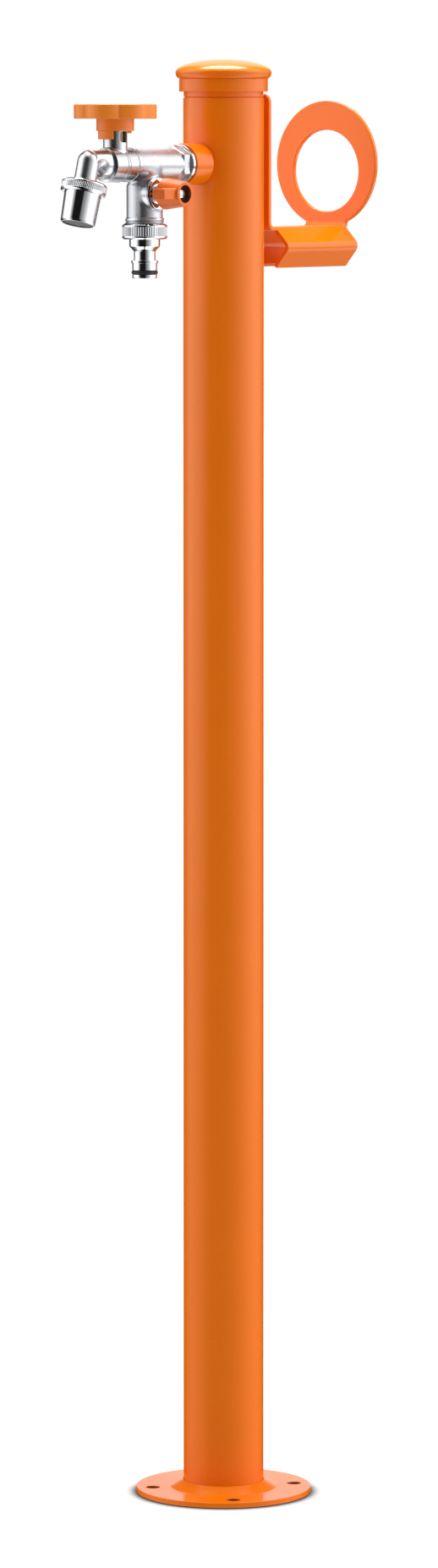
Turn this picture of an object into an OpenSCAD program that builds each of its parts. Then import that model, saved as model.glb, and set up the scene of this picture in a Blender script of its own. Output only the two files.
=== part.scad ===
// Garden water post: a round steel post on a bolted flange, with a double ball tap at the
// front and a bent sheet hook for a hose at the back.
// The origin is the centre of the flange's underside. The tap points to -Y, its side knob
// to +X and the hook to +Y. All sizes are in millimetres.

/* [Post] */
// Outer diameter of the post tube
post_d = 55; // [50:0.5:64]
// Wall of the post tube
post_wall = 2; // [1.5:0.1:3]
// Length of the post tube
post_l = 955.3; // [700:0.1:1200]
// Height of the tube's lower end above the ground
post_lift = 1; // [0.5:0.1:3]

/* [Base flange] */
// Diameter of the flange
flange_d = 120; // [116:1:150]
// Thickness of the flange
flange_t = 3.5; // [3:0.1:6]
// Height of the conical collar above the flange
collar_h = 4.8; // [2:0.1:10]
// How far the collar reaches out from the post
collar_reach = 9.4; // [4:0.1:10]
// Flat land on top of the collar, beside the post
collar_land = 0.7; // [0.3:0.1:2]
// Distance from the flange's edge to the circle through the floor bolts
bolt_edge = 11; // [8:0.5:13]
// Diameter of each floor bolt's hole
bolt_hole_d = 9; // [6:0.5:11]
// Number of floor bolts
bolt_count = 4; // [3:1:6]
// Angle of the first floor bolt, from the tap towards the knob
bolt_turn = 47; // [0:1:90]

/* [Cap] */
// Height of the cap's neck on top of the tube
cap_neck_h = 4.2; // [2:0.1:8]
// How far the neck is set in from the tube's surface
cap_neck_set_in = 0.25; // [0.1:0.05:1]
// Height of the cap's skirt
cap_skirt_h = 8.8; // [5:0.1:15]
// How far the skirt stands out from the post
cap_skirt_reach = 2.75; // [1.5:0.05:4]
// How far the head stands out from the post
cap_head_reach = 5.25; // [4.5:0.05:8]
// Height of the head's lower, rounded edge
cap_edge_h = 4.2; // [3:0.1:6]
// Height of the dome over the widest line of the head
cap_dome_h = 8.8; // [6:0.1:14]
// Depth of the plug in the tube
cap_plug_l = 18; // [12:0.5:30]
// Wall of the plug
cap_plug_wall = 3.2; // [2.9:0.1:5]
// Section of the cap's rubber ring
cap_ring_d = 2.1; // [1.5:0.1:2.6]

/* [Outlet boss] */
// Drop of the tap's axis below the tube's upper end
tap_drop = 44.7; // [40:0.1:80]
// Diameter of the boss
boss_d = 28; // [26:0.1:32]
// How far the boss stands out from the post
boss_reach = 17.5; // [12:0.1:25]
// How far the boss reaches inside the post
boss_inside = 5.5; // [3:0.1:7]
// Gap between the two threads that meet inside the boss
thread_end_gap = 1.8; // [0.5:0.1:4]
// Outer diameter of the half inch pipe thread
half_thread_d = 20.955; // [20.955]
// Outer diameter of the three quarter inch pipe thread
outlet_thread_d = 26.441; // [26.441]

/* [Riser] */
// Outer diameter of the riser pipe
riser_d = 20; // [18:0.5:22]
// Wall of the riser pipe
riser_wall = 2.3; // [2:0.1:3]
// Outer diameter of the elbow and of the inlet socket
fitting_d = 27; // [25:0.5:30]
// Drop from the tap's axis to the elbow's lower end
elbow_drop = 24; // [20:0.5:30]
// Depth of the riser in each fitting
riser_depth = 10; // [8:0.5:14]
// Height of the inlet's mouth above the ground
inlet_lift = 6; // [4:0.5:20]
// Length of the inlet socket
inlet_l = 30; // [28:0.5:40]
// Depth of the inlet's thread
inlet_thread_l = 15; // [12:0.5:16]
// Wall radius of the inlet's thread
inlet_r = 9.3; // [9.3]
// Size across flats of the riser's nuts
riser_nut_af = 30; // [28:0.5:32]
// Height of the riser's nuts
riser_nut_h = 12; // [10:0.5:16]
// Thickness of the plastic spacer that centres the inlet
spacer_t = 10; // [6:0.5:16]
// Distance from the inlet's mouth up to the spacer
spacer_gap = 4; // [2:0.5:6]

/* [Tap body] */
// Length of the tap's inlet thread in the boss
spigot_l = 12; // [10:0.5:14]
// Thickness of the gasket on the boss
gasket_t = 0.9; // [0.8:0.1:2]
// Radial width of the gasket
gasket_w = 2.6; // [2:0.1:3]
// Thickness of the lock ring
lock_ring_t = 2.5; // [1.5:0.1:4]
// Radial width of the lock ring
lock_ring_w = 2.85; // [2:0.05:4]
// Gap between the lock ring and the hexagon
hex_gap = 0.6; // [0.3:0.1:2]
// Size across flats of the hexagon
hex_af = 22.4; // [22:0.1:26]
// Length of the hexagon
hex_l = 6.6; // [5:0.1:10]
// Diameter of the tap's main tube
tap_d = 22; // [21.6:0.1:24]
// Length of the tap's main tube
tap_l = 42.4; // [42:0.1:60]
// Diameter of the water way
water_d = 9; // [8:0.5:9.5]

/* [Branch] */
// Distance from the hexagon to the branch's axis
branch_offset = 28.4; // [25:0.1:29]
// Diameter of the branch
branch_d = 24.4; // [24:0.1:26]
// How far the branch's upper part is set in from the tube's sides
branch_set_in = 0.4; // [0.3:0.1:1]
// Drop from the tap's axis to the side knob's axis
knob_drop = 19.4; // [18.5:0.1:24]
// Drop from the knob's axis to the bead under the branch
bead_drop = 16.1; // [14:0.1:22]
// Height of the bead
bead_h = 0.9; // [0.5:0.1:2]
// How far the bead stands out
bead_reach = 0.35; // [0.2:0.05:0.8]
// Length of the outlet thread
outlet_thread_l = 10.4; // [8:0.1:14]
// Outer diameter of the side valve's bonnet
bonnet_d = 22.4; // [22:0.1:23.5]
// Distance from the branch's axis to the bonnet's face
bonnet_x = 13; // [12.8:0.1:15]
// Thickness of the bonnet's flange
bonnet_flange_t = 1.6; // [1:0.1:2]
// Depth of the bonnet in the branch
bonnet_depth = 3.6; // [3:0.1:4]
// Diameter of the bonnet's nose towards the knob
bonnet_nose_d = 14; // [12:0.1:16]
// Length of the bonnet's nose
bonnet_nose_l = 3.6; // [2:0.1:4.5]

/* [Ball valves] */
// Diameter of the balls
ball_d = 14.4; // [14:0.1:14.6]
// Diameter of the hole through each ball
ball_port_d = 8.4; // [8:0.1:9]
// Outer diameter of the seats
seat_d = 14.9; // [14.6:0.1:15]
// How far the seats reach past the ball
seat_rim = 1.9; // [1.6:0.1:2.1]
// Width of the slot in the ball and of the stem's tongue
tongue_w = 2.6; // [2:0.1:3]
// Depth of the slot in the ball
tongue_h = 2.2; // [1.8:0.1:2.4]
// Diameter of the stems
stem_d = 6; // [5.5:0.1:6.5]
// Diameter of the stems' collars
stem_collar_d = 9.6; // [9:0.1:10]
// Thickness of the stems' collars
stem_collar_t = 1.6; // [1:0.1:2]
// Section of the stems' rubber rings
stem_ring_d = 1.5; // [1.2:0.1:1.6]
// Size across flats of the stems' square ends
square_af = 4.2; // [3.6:0.1:4.2]
// Diameter of the screws' shanks
screw_d = 3; // [2.5:0.1:3.2]
// Length of the screws' shanks
screw_l = 7; // [5:0.1:9]
// Diameter of the screws' heads
screw_head_d = 7.6; // [7:0.1:8.4]
// Height of the screws' heads
screw_head_h = 2.4; // [2:0.1:3]

/* [Front valve] */
// Diameter of the front valve's body
valve_d = 23; // [22.6:0.1:25]
// Length of the front valve's body
valve_l = 28.8; // [28:0.1:34]
// Distance from the joint to the handwheel's axis
stem_offset = 16.6; // [16.4:0.1:18]
// Length of the threads between the tap's pieces
joint_thread_l = 6.5; // [5.5:0.1:7]
// Diameter of the threads between the tap's pieces
joint_thread_d = 18.8; // [18:0.1:19.4]
// Width of the raised band round the valve
band_w = 2.2; // [1:0.1:4]
// How far the band stands out
band_reach = 0.3; // [0.1:0.05:0.8]
// Distance from the joint to the raised band
band_offset = 13.9; // [8:0.1:20]
// Diameter of the stem's neck
neck_d = 16.2; // [15.6:0.1:17]
// Height of the neck over the tap's axis
neck_l = 24.9; // [24:0.1:30]
// Width of the window in the neck
window_w = 6.6; // [4:0.1:8]
// Height of the window in the neck
window_h = 7.2; // [5:0.1:7.4]
// Drop from the hub's lower end to the window's upper edge
window_top_drop = 0.3; // [0:0.1:1]
// Diameter of the gland in the neck
gland_d = 11.8; // [11:0.1:12.2]

/* [Spout] */
// Diameter of the rounded nose of the spout
nose_d = 18; // [16:0.1:18.6]
// Distance from the valve's front to the leg's axis at the bend
spout_reach = 15.4; // [14:0.1:30]
// Height of the spout's pipe over the tap's axis
spout_rise = 4.4; // [3:0.1:4.6]
// Height of the spout's pipe
pipe_h = 10.8; // [10:0.1:13]
// Diameter of the spout's leg, and width of its pipe
leg_d = 15; // [13.5:0.1:17]
// Forward lean of the spout's leg
leg_tilt = 15.5; // [0:0.5:25]
// Length of the leg, from the bend to the nut
leg_l = 14.4; // [13:0.1:30]
// Diameter of the water way in the spout
spout_water_d = 7.6; // [6:0.1:8]

/* [Aerator] */
// Outer diameter of the two knurled nuts
nut_d = 30.5; // [30:0.1:34]
// Length of the aerator's nut
aerator_nut_l = 7.8; // [7:0.1:12]
// Depth of the nut on the spout's thread
aerator_thread_l = 4; // [3.5:0.1:4.3]
// Diameter of the aerator's housing under the nut
housing_d = 24.8; // [24:0.1:25.2]
// Diameter of the aerator's housing at its mouth
housing_mouth_d = 23.4; // [22:0.1:24]
// Length of the housing that shows
housing_l = 20.5; // [12:0.1:30]
// Wall of the housing
housing_wall = 1.2; // [0.8:0.1:1.5]
// Set-back of the mesh insert in the mouth
mesh_set_back = 0.8; // [0.4:0.1:2]
// Thickness of the mesh insert
mesh_t = 6; // [3:0.1:8]
// Thickness of the rubber washers
washer_t = 1.8; // [1:0.1:1.9]
// How far the ridges are set in from the nuts' smooth bands
ridge_set_in = 0.12; // [0.05:0.01:0.3]
// Depth of the grooves between the nuts' ridges
knurl_depth = 0.35; // [0.2:0.05:0.6]
// Ridges round each nut
knurl_count = 60; // [36:1:72]

/* [Hose connector] */
// Height of the connector's nut
connector_nut_l = 10.3; // [9:0.1:16]
// Height of the smooth band at each end of the nut's ridges
connector_band_h = 2.1; // [1:0.1:3]
// Depth of the nut on the thread
connector_thread_l = 7.3; // [6:0.1:7.9]
// Diameter of the bell under the nut
bell_d = 20.8; // [19:0.1:24]
// Height of the bell
bell_h = 4.8; // [3:0.1:8]
// Height of the taper from the bell to the plug's neck
bell_taper_h = 3.3; // [2:0.1:6]
// Diameter of the plug's neck
plug_neck_d = 14.6; // [13:0.1:15]
// Length of the plug's neck
plug_neck_l = 6; // [4:0.1:8]
// Diameter of the plug's catch ring
catch_d = 18.1; // [17.5:0.1:19]
// Height of the plug's catch ring
catch_h = 2; // [1.5:0.1:3]
// Diameter of the plug's body
plug_d = 16.8; // [16:0.1:17.2]
// Length of the plug's body over the rubber ring
plug_body_l = 4.6; // [3:0.1:8]
// Section of the plug's rubber ring
plug_ring_d = 3.1; // [2:0.1:3.2]
// Outer diameter of the plug's rubber ring
plug_ring_out_d = 17.8; // [17.4:0.1:18.4]
// Wall of the plug under its rubber ring
plug_wall = 1.1; // [0.8:0.1:1.6]
// Height of the plug's end land
plug_end_l = 2.4; // [1.5:0.1:4]
// Height of the rounding on the plug's end
plug_end_round = 0.7; // [0.3:0.1:1.2]

/* [Handwheel] */
// Diameter over the handwheel's lobes
wheel_d = 55.4; // [50:0.1:64]
// Thickness of the handwheel
wheel_t = 9.6; // [8:0.1:14]
// Radius of each lobe
lobe_r = 14; // [13.6:0.1:16]
// Number of lobes
lobe_count = 6; // [5:1:8]
// Angle of the first lobe, from the tap towards the knob
lobe_turn = 16; // [0:1:60]
// Diameter of the flat dish on top of the handwheel
dish_d = 34; // [24:0.5:38]
// Depth of the dish
dish_h = 1.2; // [0.5:0.1:2]
// Diameter of the handwheel's hub
hub_d = 25.2; // [24:0.1:28]
// Height of the hub under the handwheel
hub_l = 8.1; // [7:0.1:14]
// How far the hub reaches down over the neck
hub_over_neck = 2.3; // [1:0.1:3]
// Length of the long stop lug under the hub
long_lug_l = 5.6; // [3:0.1:6.5]
// Length of the short stop lug under the hub
short_lug_l = 1.6; // [1:0.1:4]
// How far the lugs are set in from the hub's surface
lug_set_in = 0.7; // [0.2:0.1:1.5]
// Angle over which the long lug reaches
long_lug_angle = 65; // [40:1:80]
// Angle over which the short lug reaches
short_lug_angle = 50; // [30:1:60]

/* [Side knob] */
// Gap between the bonnet's face and the knob
knob_gap = 5; // [4.6:0.1:8]
// Diameter of the knob at its foot
knob_foot_d = 21.2; // [20:0.1:23]
// Diameter of the knob at its end
knob_end_d = 16.6; // [16:0.1:19]
// Length of the knob
knob_l = 17.4; // [16:0.1:24]
// Diameter of the recess in the knob's end
recess_d = 12; // [9:0.1:12.5]
// Set-back of the screw's head in the knob and in the handwheel
screw_set_back = 2; // [0.5:0.1:3]
// Reach of the lever from the knob's axis
lever_reach = 20; // [15:0.1:26]
// Height of the lever
lever_h = 7.4; // [5:0.1:10]
// Width of the lever along the knob
lever_w = 10.4; // [6:0.1:12]
// Set-back of the lever from the knob's end
lever_set_back = 1.9; // [1:0.1:4]

/* [Hose hook] */
// Thickness of the hook's sheet
sheet_t = 3; // [2:0.1:4]
// Width of the back strip, the arm's top and the ring's neck
strip_w = 35; // [30:0.5:42]
// Height of the strip's upper edge over the tube's upper end
strip_rise = 2.8; // [0:0.1:3.4]
// Radius of the strip's upper corners
strip_corner_r = 6; // [2:0.5:12]
// Height from the arm's top to the strip's upper edge
strip_l = 90.6; // [85:0.1:110]
// Length of the arm, from the strip's back to the ring's outer face
arm_l = 85; // [75:0.5:110]
// Inner radius of the sheet's bends
bend_r = 3; // [2:0.1:5]
// Outer diameter of the ring
ring_d = 87; // [80:0.1:94]
// Diameter of the ring's hole
ring_hole_d = 56.5; // [40:0.1:64]
// Height of the ring's centre over the arm's top
ring_rise = 42.4; // [36:0.1:44]
// How far the hole sits under the ring's centre
ring_hole_drop = 4.8; // [0:0.1:6]
// How far the folded flanks stand out beside the arm's top
flank_reach = 11.5; // [6:0.1:16]
// Depth of the flanks' widest line under the arm's top
flank_mid_drop = 13.6; // [10:0.1:20]
// Depth of the flanks' lower edge under the arm's top
flank_drop = 27.3; // [22:0.1:36]
// Radius of the flanks' rounded fold
flank_bend_r = 4; // [2:0.1:6]
// Gap from the strip's back to the flanks
flank_gap = 5.4; // [5:0.1:12]
// Set-back of the flanks from the ring's outer face
flank_set_back = 2.2; // [1:0.1:6]

/* [Fits] */
// Gap round pieces that are welded or pressed together
weld_gap = 0.05; // [0.02:0.01:0.1]
// Gap round pieces that are screwed together
thread_gap = 0.08; // [0.05:0.01:0.15]
// Running gap round the stems
run_gap = 0.06; // [0.03:0.01:0.09]
// Gap between a ball and its seats
seat_gap = 0.06; // [0.04:0.01:0.1]
// Gap beside pieces that turn past each other without a fit
clear_gap = 0.35; // [0.25:0.05:0.5]

/* [Hidden] */
$fn = 72;
// Overrun of every cut
cut = 0.5;
// Steps in a quarter turn of a rounded edge
arc_steps = 6;
// Steps round each lobe of the handwheel
lobe_steps = 14;
// Share of a hexagon's width that its chamfers take
chamfer_share = 0.06;
// Share of a screw head's height under its crown, and of its width across the crown
head_flat_share = 0.6;
// Length and width of the cross recess, as shares of the screw head's width
cross_l_share = 0.58;
cross_w_share = 0.12;
// Share of the cap's overhang that its lower edge rounds in
cap_edge_share = 0.55;

// Post
post_r = post_d / 2;
bore_r = post_r - post_wall;
tube_top = post_lift + post_l;
tap_z = tube_top - tap_drop;

// Circle through the floor bolts
bolt_pcd = flange_d - 2 * bolt_edge;

// Cap
cap_neck_r = post_r - cap_neck_set_in;
cap_skirt_r = post_r + cap_skirt_reach;
cap_head_r = post_r + cap_head_reach;
cap_plug_r = bore_r - clear_gap;
cap_ring_r = bore_r - 2 * weld_gap - cap_ring_d / 2;
cap_skirt_z = tube_top + cap_neck_h;
cap_edge_z = cap_skirt_z + cap_skirt_h;
cap_wide_z = cap_edge_z + cap_edge_h;
cap_ring_z = tube_top - cap_plug_l / 2;

// Boss and the tap's pieces along its axis, as distances from the post's axis
boss_face = post_r + boss_reach;
boss_back = bore_r - boss_inside;
half_thread_r = half_thread_d / 2;
half_bore_r = half_thread_r + thread_gap;
outlet_thread_r = outlet_thread_d / 2;
outlet_bore_r = outlet_thread_r + thread_gap;
lock_ring_t0 = boss_face + gasket_t;
hex_t0 = lock_ring_t0 + lock_ring_t + hex_gap;
hex_t1 = hex_t0 + hex_l;
joint_t = hex_t1 + tap_l;
branch_t = hex_t1 + branch_offset;
stem_t = joint_t + stem_offset;
valve_front_t = joint_t + valve_l;
elbow_t = valve_front_t + spout_reach;
tap_r = tap_d / 2;
valve_r = valve_d / 2;
water_r = water_d / 2;
joint_thread_r = joint_thread_d / 2;
joint_bore_r = joint_thread_r + thread_gap;

// Branch, from the top down
branch_r = branch_d / 2;
knob_z = tap_z - knob_drop;
bead_z = knob_z - bead_drop;
outlet_z1 = bead_z - bead_h;
outlet_z0 = outlet_z1 - outlet_thread_l;
branch_top_r = tap_r - branch_set_in;
bonnet_r = bonnet_d / 2;
bonnet_nose_r = bonnet_nose_d / 2;
bonnet_end_x = bonnet_x + bonnet_nose_l;
bonnet_in_x = bonnet_x - bonnet_flange_t - bonnet_depth;
bonnet_thread_r = bonnet_r - bonnet_flange_t;

// Balls, seats and stems
ball_r = ball_d / 2;
seat_r = seat_d / 2;
seat_bore_r = seat_r + weld_gap;
seat_hole_r = ball_port_d / 2;
stem_r = stem_d / 2;
seat_in = stem_r + 2 * clear_gap;
seat_out = ball_r + seat_rim;
collar_r = stem_collar_d / 2;
collar_bore_r = collar_r + clear_gap;
tongue_foot = ball_r - tongue_h;
collar_foot = ball_r + stem_collar_t;
stem_ring_r = stem_r + stem_ring_d / 2;

// Front valve
neck_r = neck_d / 2;
gland_r = gland_d / 2;
gland_foot = collar_foot + stem_collar_t + stem_ring_d + clear_gap;
neck_top_z = tap_z + neck_l;
hub_z0 = neck_top_z - hub_over_neck;
wheel_z0 = hub_z0 + hub_l;
wheel_z1 = wheel_z0 + wheel_t;
window_z1 = hub_z0 - window_top_drop;

// Spout and aerator
leg_r = leg_d / 2;
nose_r = nose_d / 2;
pipe_z = tap_z + spout_rise;
elbow_z = pipe_z + pipe_h / 2 - leg_r;
nut_r = nut_d / 2;
thread_end = leg_l + aerator_thread_l;
lip_s = leg_l + aerator_nut_l;
lip_t = (aerator_nut_l - aerator_thread_l - washer_t) / 2;
housing_r = housing_d / 2;
housing_mouth_r = housing_mouth_d / 2;
housing_s0 = thread_end + washer_t;
housing_end = lip_s + housing_l;

// Hose connector, from the top down
washer_z = outlet_z0 - washer_t;
connector_z1 = outlet_z0 + connector_thread_l;
connector_z0 = connector_z1 - connector_nut_l;
taper_z1 = connector_z0 - bell_h;
plug_neck_z1 = taper_z1 - bell_taper_h;
catch_z1 = plug_neck_z1 - plug_neck_l;
plug_z1 = catch_z1 - catch_h;
groove_z1 = plug_z1 - plug_body_l;
groove_z0 = groove_z1 - plug_ring_d;
plug_end_z = groove_z0 - plug_end_l;
plug_ring_r = plug_ring_out_d / 2 - plug_ring_d / 2;
groove_r = plug_ring_r - plug_ring_d / 2;

// Handwheel and knob
wheel_r = wheel_d / 2;
hub_r = hub_d / 2;
lobe_place = wheel_r - lobe_r;
dish_z = wheel_z1 - dish_h;
wheel_screw_z = dish_z - screw_set_back - screw_head_h;
square_z0 = neck_top_z + clear_gap;
knob_x0 = bonnet_x + knob_gap;
knob_x1 = knob_x0 + knob_l;
knob_screw_x = knob_x1 - screw_set_back - screw_head_h;
recess_r = recess_d / 2;

// Hook
strip_y0 = post_r;
strip_y1 = post_r + sheet_t;
strip_top = tube_top + strip_rise;
arm_z = strip_top - strip_l;
ring_y1 = strip_y1 + arm_l;
ring_y0 = ring_y1 - sheet_t;
ring_z = arm_z + ring_rise;
neck_rise = ring_rise - sqrt(ring_d * ring_d - strip_w * strip_w) / 2;
flank_y0 = strip_y1 + flank_gap;
flank_y1 = ring_y1 - flank_set_back;

// Riser
riser_r = riser_d / 2;
riser_bore_r = riser_r - riser_wall;
fitting_r = fitting_d / 2;
elbow_foot = tap_z - elbow_drop;
inlet_top = inlet_lift + inlet_l;
riser_z0 = inlet_top - riser_depth;
riser_z1 = elbow_foot + riser_depth;

// Vectors and rounded outlines
function unit(v) = v / norm(v);
function side(v) = [-v[1], v[0]];
function arc(c, r, a0, a1) =
    [for (i = [0 : arc_steps]) c + r * [cos(a0 + (a1 - a0) * i / arc_steps), sin(a0 + (a1 - a0) * i / arc_steps)]];

// One rounded corner of a bent sheet's middle line, as pairs of a point and its normal
function bend(p, q, s, r) =
    let (
        a = unit(p - q),
        b = unit(s - q),
        half = acos(a * b) / 2,
        centre = q + unit(a + b) * r / sin(half),
        turn = cross(-a, b) > 0 ? 1 : -1,
        start = unit(q + a * r / tan(half) - centre),
        sweep = (180 - 2 * half) * turn
    )
    [for (i = [0 : arc_steps])
        let (
            w = sweep * i / arc_steps,
            n = [start[0] * cos(w) - start[1] * sin(w), start[0] * sin(w) + start[1] * cos(w)]
        )
        [centre + n * r, -turn * n]];

// The middle line of a bent sheet through a list of corners
function sheet_line(pts, r) =
    let (last = len(pts) - 1)
    concat(
        [[pts[0], side(unit(pts[1] - pts[0]))]],
        [for (i = [1 : last - 1]) each bend(pts[i - 1], pts[i], pts[i + 1], r)],
        [[pts[last], side(unit(pts[last] - pts[last - 1]))]]
    );

// The outline of a sheet of thickness t round its middle line
function sheet_outline(line, t) =
    concat(
        [for (k = line) k[0] + k[1] * t / 2],
        [for (i = [len(line) - 1 : -1 : 0]) line[i][0] - line[i][1] * t / 2]
    );

// Places on the tap: each turns local +Z along the named axis
module along_tap(t) translate([0, -t, tap_z]) rotate([90, 0, 0]) children();
module along_stem(h) translate([0, -stem_t, tap_z + h]) children();
module along_branch(z) translate([0, -branch_t, z]) children();
module along_knob(x) translate([x, -branch_t, knob_z]) rotate([0, 90, 0]) children();
module along_leg(s) translate([0, -elbow_t, elbow_z]) rotate([180 - leg_tilt, 0, 0]) translate([0, 0, s]) children();

module ring(r_out, r_in, h) {
    difference() {
        cylinder(r = r_out, h = h);
        translate([0, 0, -cut]) cylinder(r = r_in, h = h + 2 * cut);
    }
}

module rubber_ring(r_mid, section) {
    rotate_extrude() translate([r_mid, 0]) circle(d = section);
}

// A hexagon with its corners turned off at both ends
module hex_nut(af, h, bevel) {
    corner = af / 2 / cos(30);
    intersection() {
        cylinder(r = corner, h = h, $fn = 6);
        rotate_extrude() polygon([
            [0, 0], [corner - bevel, 0], [corner, bevel],
            [corner, h - bevel], [corner - bevel, h], [0, h]
        ]);
    }
}

// Ridges round a knurled nut
module ridges(r, h) {
    linear_extrude(height = h)
        polygon([for (i = [0 : 2 * knurl_count - 1])
            (r - ridge_set_in - (i % 2) * knurl_depth) * [cos(180 * i / knurl_count), sin(180 * i / knurl_count)]]);
}

// Two seats on both sides of a ball at the origin, along local Z
module seats() {
    for (m = [0, 1]) mirror([0, 0, m]) difference() {
        translate([0, 0, seat_in]) ring(seat_r, seat_hole_r, seat_out - seat_in);
        sphere(r = ball_r + seat_gap);
    }
}

// A ball with its port along local X and the stem's slot on local +Z
module ball() {
    difference() {
        sphere(r = ball_r);
        translate([-ball_r - cut, 0, 0]) rotate([0, 90, 0]) cylinder(d = ball_port_d, h = ball_d + 2 * cut);
        translate([-ball_r - cut, -tongue_w / 2, tongue_foot]) cube([ball_d + 2 * cut, tongue_w, tongue_h + cut]);
    }
}

// A stem from the ball's slot up to its square end, along local Z
module stem(square_from, square_to) {
    difference() {
        union() {
            intersection() {
                translate([-stem_r, -tongue_w / 2 + weld_gap, tongue_foot])
                    cube([stem_d, tongue_w - 2 * weld_gap, collar_foot - tongue_foot]);
                cylinder(r = stem_r, h = collar_foot);
            }
            translate([0, 0, collar_foot - cut]) cylinder(r = stem_r, h = square_from - collar_foot + cut);
            translate([0, 0, collar_foot]) cylinder(r = collar_r, h = stem_collar_t);
            translate([-square_af / 2, -square_af / 2, square_from - cut])
                cube([square_af, square_af, square_to - square_from + cut]);
        }
        translate([0, 0, square_to - screw_l - cut]) cylinder(d = screw_d + 2 * thread_gap, h = screw_l + 2 * cut);
    }
}

// A pan head screw with a cross recess; its head stands on local z = 0
module screw() {
    recess = screw_head_h / 2;
    flat_h = screw_head_h * head_flat_share;
    cross_l = screw_head_d * cross_l_share;
    cross_w = screw_head_d * cross_w_share;
    difference() {
        union() {
            translate([0, 0, -screw_l]) cylinder(d = screw_d, h = screw_l + cut);
            cylinder(d = screw_head_d, h = flat_h);
            translate([0, 0, flat_h])
                cylinder(d1 = screw_head_d, d2 = screw_head_d * head_flat_share, h = screw_head_h - flat_h);
        }
        for (a = [0, 90]) rotate(a)
            translate([-cross_l / 2, -cross_w / 2, screw_head_h - recess]) cube([cross_l, cross_w, recess + cut]);
    }
}

module base_flange() {
    hole_r = post_r + weld_gap;
    flange_r = flange_d / 2;
    color("darkorange") difference() {
        rotate_extrude() polygon([
            [hole_r, 0], [flange_r, 0], [flange_r, flange_t], [post_r + collar_reach, flange_t],
            [hole_r + collar_land, flange_t + collar_h], [hole_r, flange_t + collar_h]
        ]);
        for (i = [0 : bolt_count - 1])
            rotate(bolt_turn - 90 + i * 360 / bolt_count)
                translate([bolt_pcd / 2, 0, -cut]) cylinder(d = bolt_hole_d, h = flange_t + 2 * cut);
    }
}

module post_tube() {
    color("darkorange") difference() {
        translate([0, 0, post_lift]) ring(post_r, bore_r, post_l);
        along_tap(0) cylinder(r = boss_d / 2 + weld_gap, h = post_r + cut);
    }
}

module post_cap() {
    plug_in_r = cap_plug_r - cap_plug_wall;
    plug_foot = tube_top - cap_plug_l;
    groove_half = cap_ring_d / 2 + weld_gap;
    groove_floor = cap_ring_r - groove_half;
    edge_arc = [for (i = [0 : arc_steps])
        [cap_head_r - cap_head_reach * cap_edge_share * (1 - sin(90 * i / arc_steps)),
         cap_wide_z - cap_edge_h * cos(90 * i / arc_steps)]];
    dome_arc = [for (i = [1 : 3 * arc_steps])
        [cap_head_r * cos(30 * i / arc_steps), cap_wide_z + cap_dome_h * sin(30 * i / arc_steps)]];
    color("darkorange") rotate_extrude() polygon(concat(
        [[plug_in_r, plug_foot], [cap_plug_r, plug_foot],
         [cap_plug_r, cap_ring_z - groove_half], [groove_floor, cap_ring_z - groove_half],
         [groove_floor, cap_ring_z + groove_half], [cap_plug_r, cap_ring_z + groove_half],
         [cap_plug_r, tube_top], [cap_neck_r, tube_top],
         [cap_neck_r, cap_skirt_z], [cap_skirt_r, cap_skirt_z], [cap_skirt_r, cap_edge_z]],
        edge_arc,
        dome_arc,
        [[0, cap_edge_z], [plug_in_r, cap_edge_z]]
    ));
}

module cap_o_ring() {
    color("black") translate([0, 0, cap_ring_z]) rubber_ring(cap_ring_r, cap_ring_d);
}

module outlet_boss() {
    color("orange") along_tap(boss_back) ring(boss_d / 2, half_bore_r, boss_face - boss_back);
}

// The strip, the arm and the ring's neck, as one sheet bent in the plane x = 0
module hook_spine() {
    mid = sheet_t / 2;
    line = sheet_line([
        [strip_y0 + mid, strip_top - strip_corner_r],
        [strip_y0 + mid, arm_z - mid],
        [ring_y1 - mid, arm_z - mid],
        [ring_y1 - mid, arm_z + bend_r + sheet_t]
    ], bend_r + mid);
    translate([strip_w / 2, 0, 0]) rotate([90, 0, -90]) mirror([1, 0, 0])
        linear_extrude(height = strip_w) polygon(sheet_outline(line, sheet_t));
}

module hook_strip_top() {
    half = strip_w / 2;
    outline = concat(
        [[-half, strip_top - strip_corner_r], [half, strip_top - strip_corner_r]],
        arc([half - strip_corner_r, strip_top - strip_corner_r], strip_corner_r, 0, 90),
        arc([-half + strip_corner_r, strip_top - strip_corner_r], strip_corner_r, 90, 180)
    );
    translate([0, strip_y1, 0]) rotate([90, 0, 0]) linear_extrude(height = sheet_t) polygon(outline);
}

module hook_flank() {
    mid = sheet_t / 2;
    half = strip_w / 2 - mid;
    tip = half + flank_reach;
    line = sheet_line([
        [0, arm_z - mid], [half, arm_z - mid], [tip, arm_z - flank_mid_drop], [half, arm_z - flank_drop]
    ], flank_bend_r);
    translate([0, flank_y1, 0]) rotate([90, 0, 0])
        linear_extrude(height = flank_y1 - flank_y0) polygon(sheet_outline(line, sheet_t));
}

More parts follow.
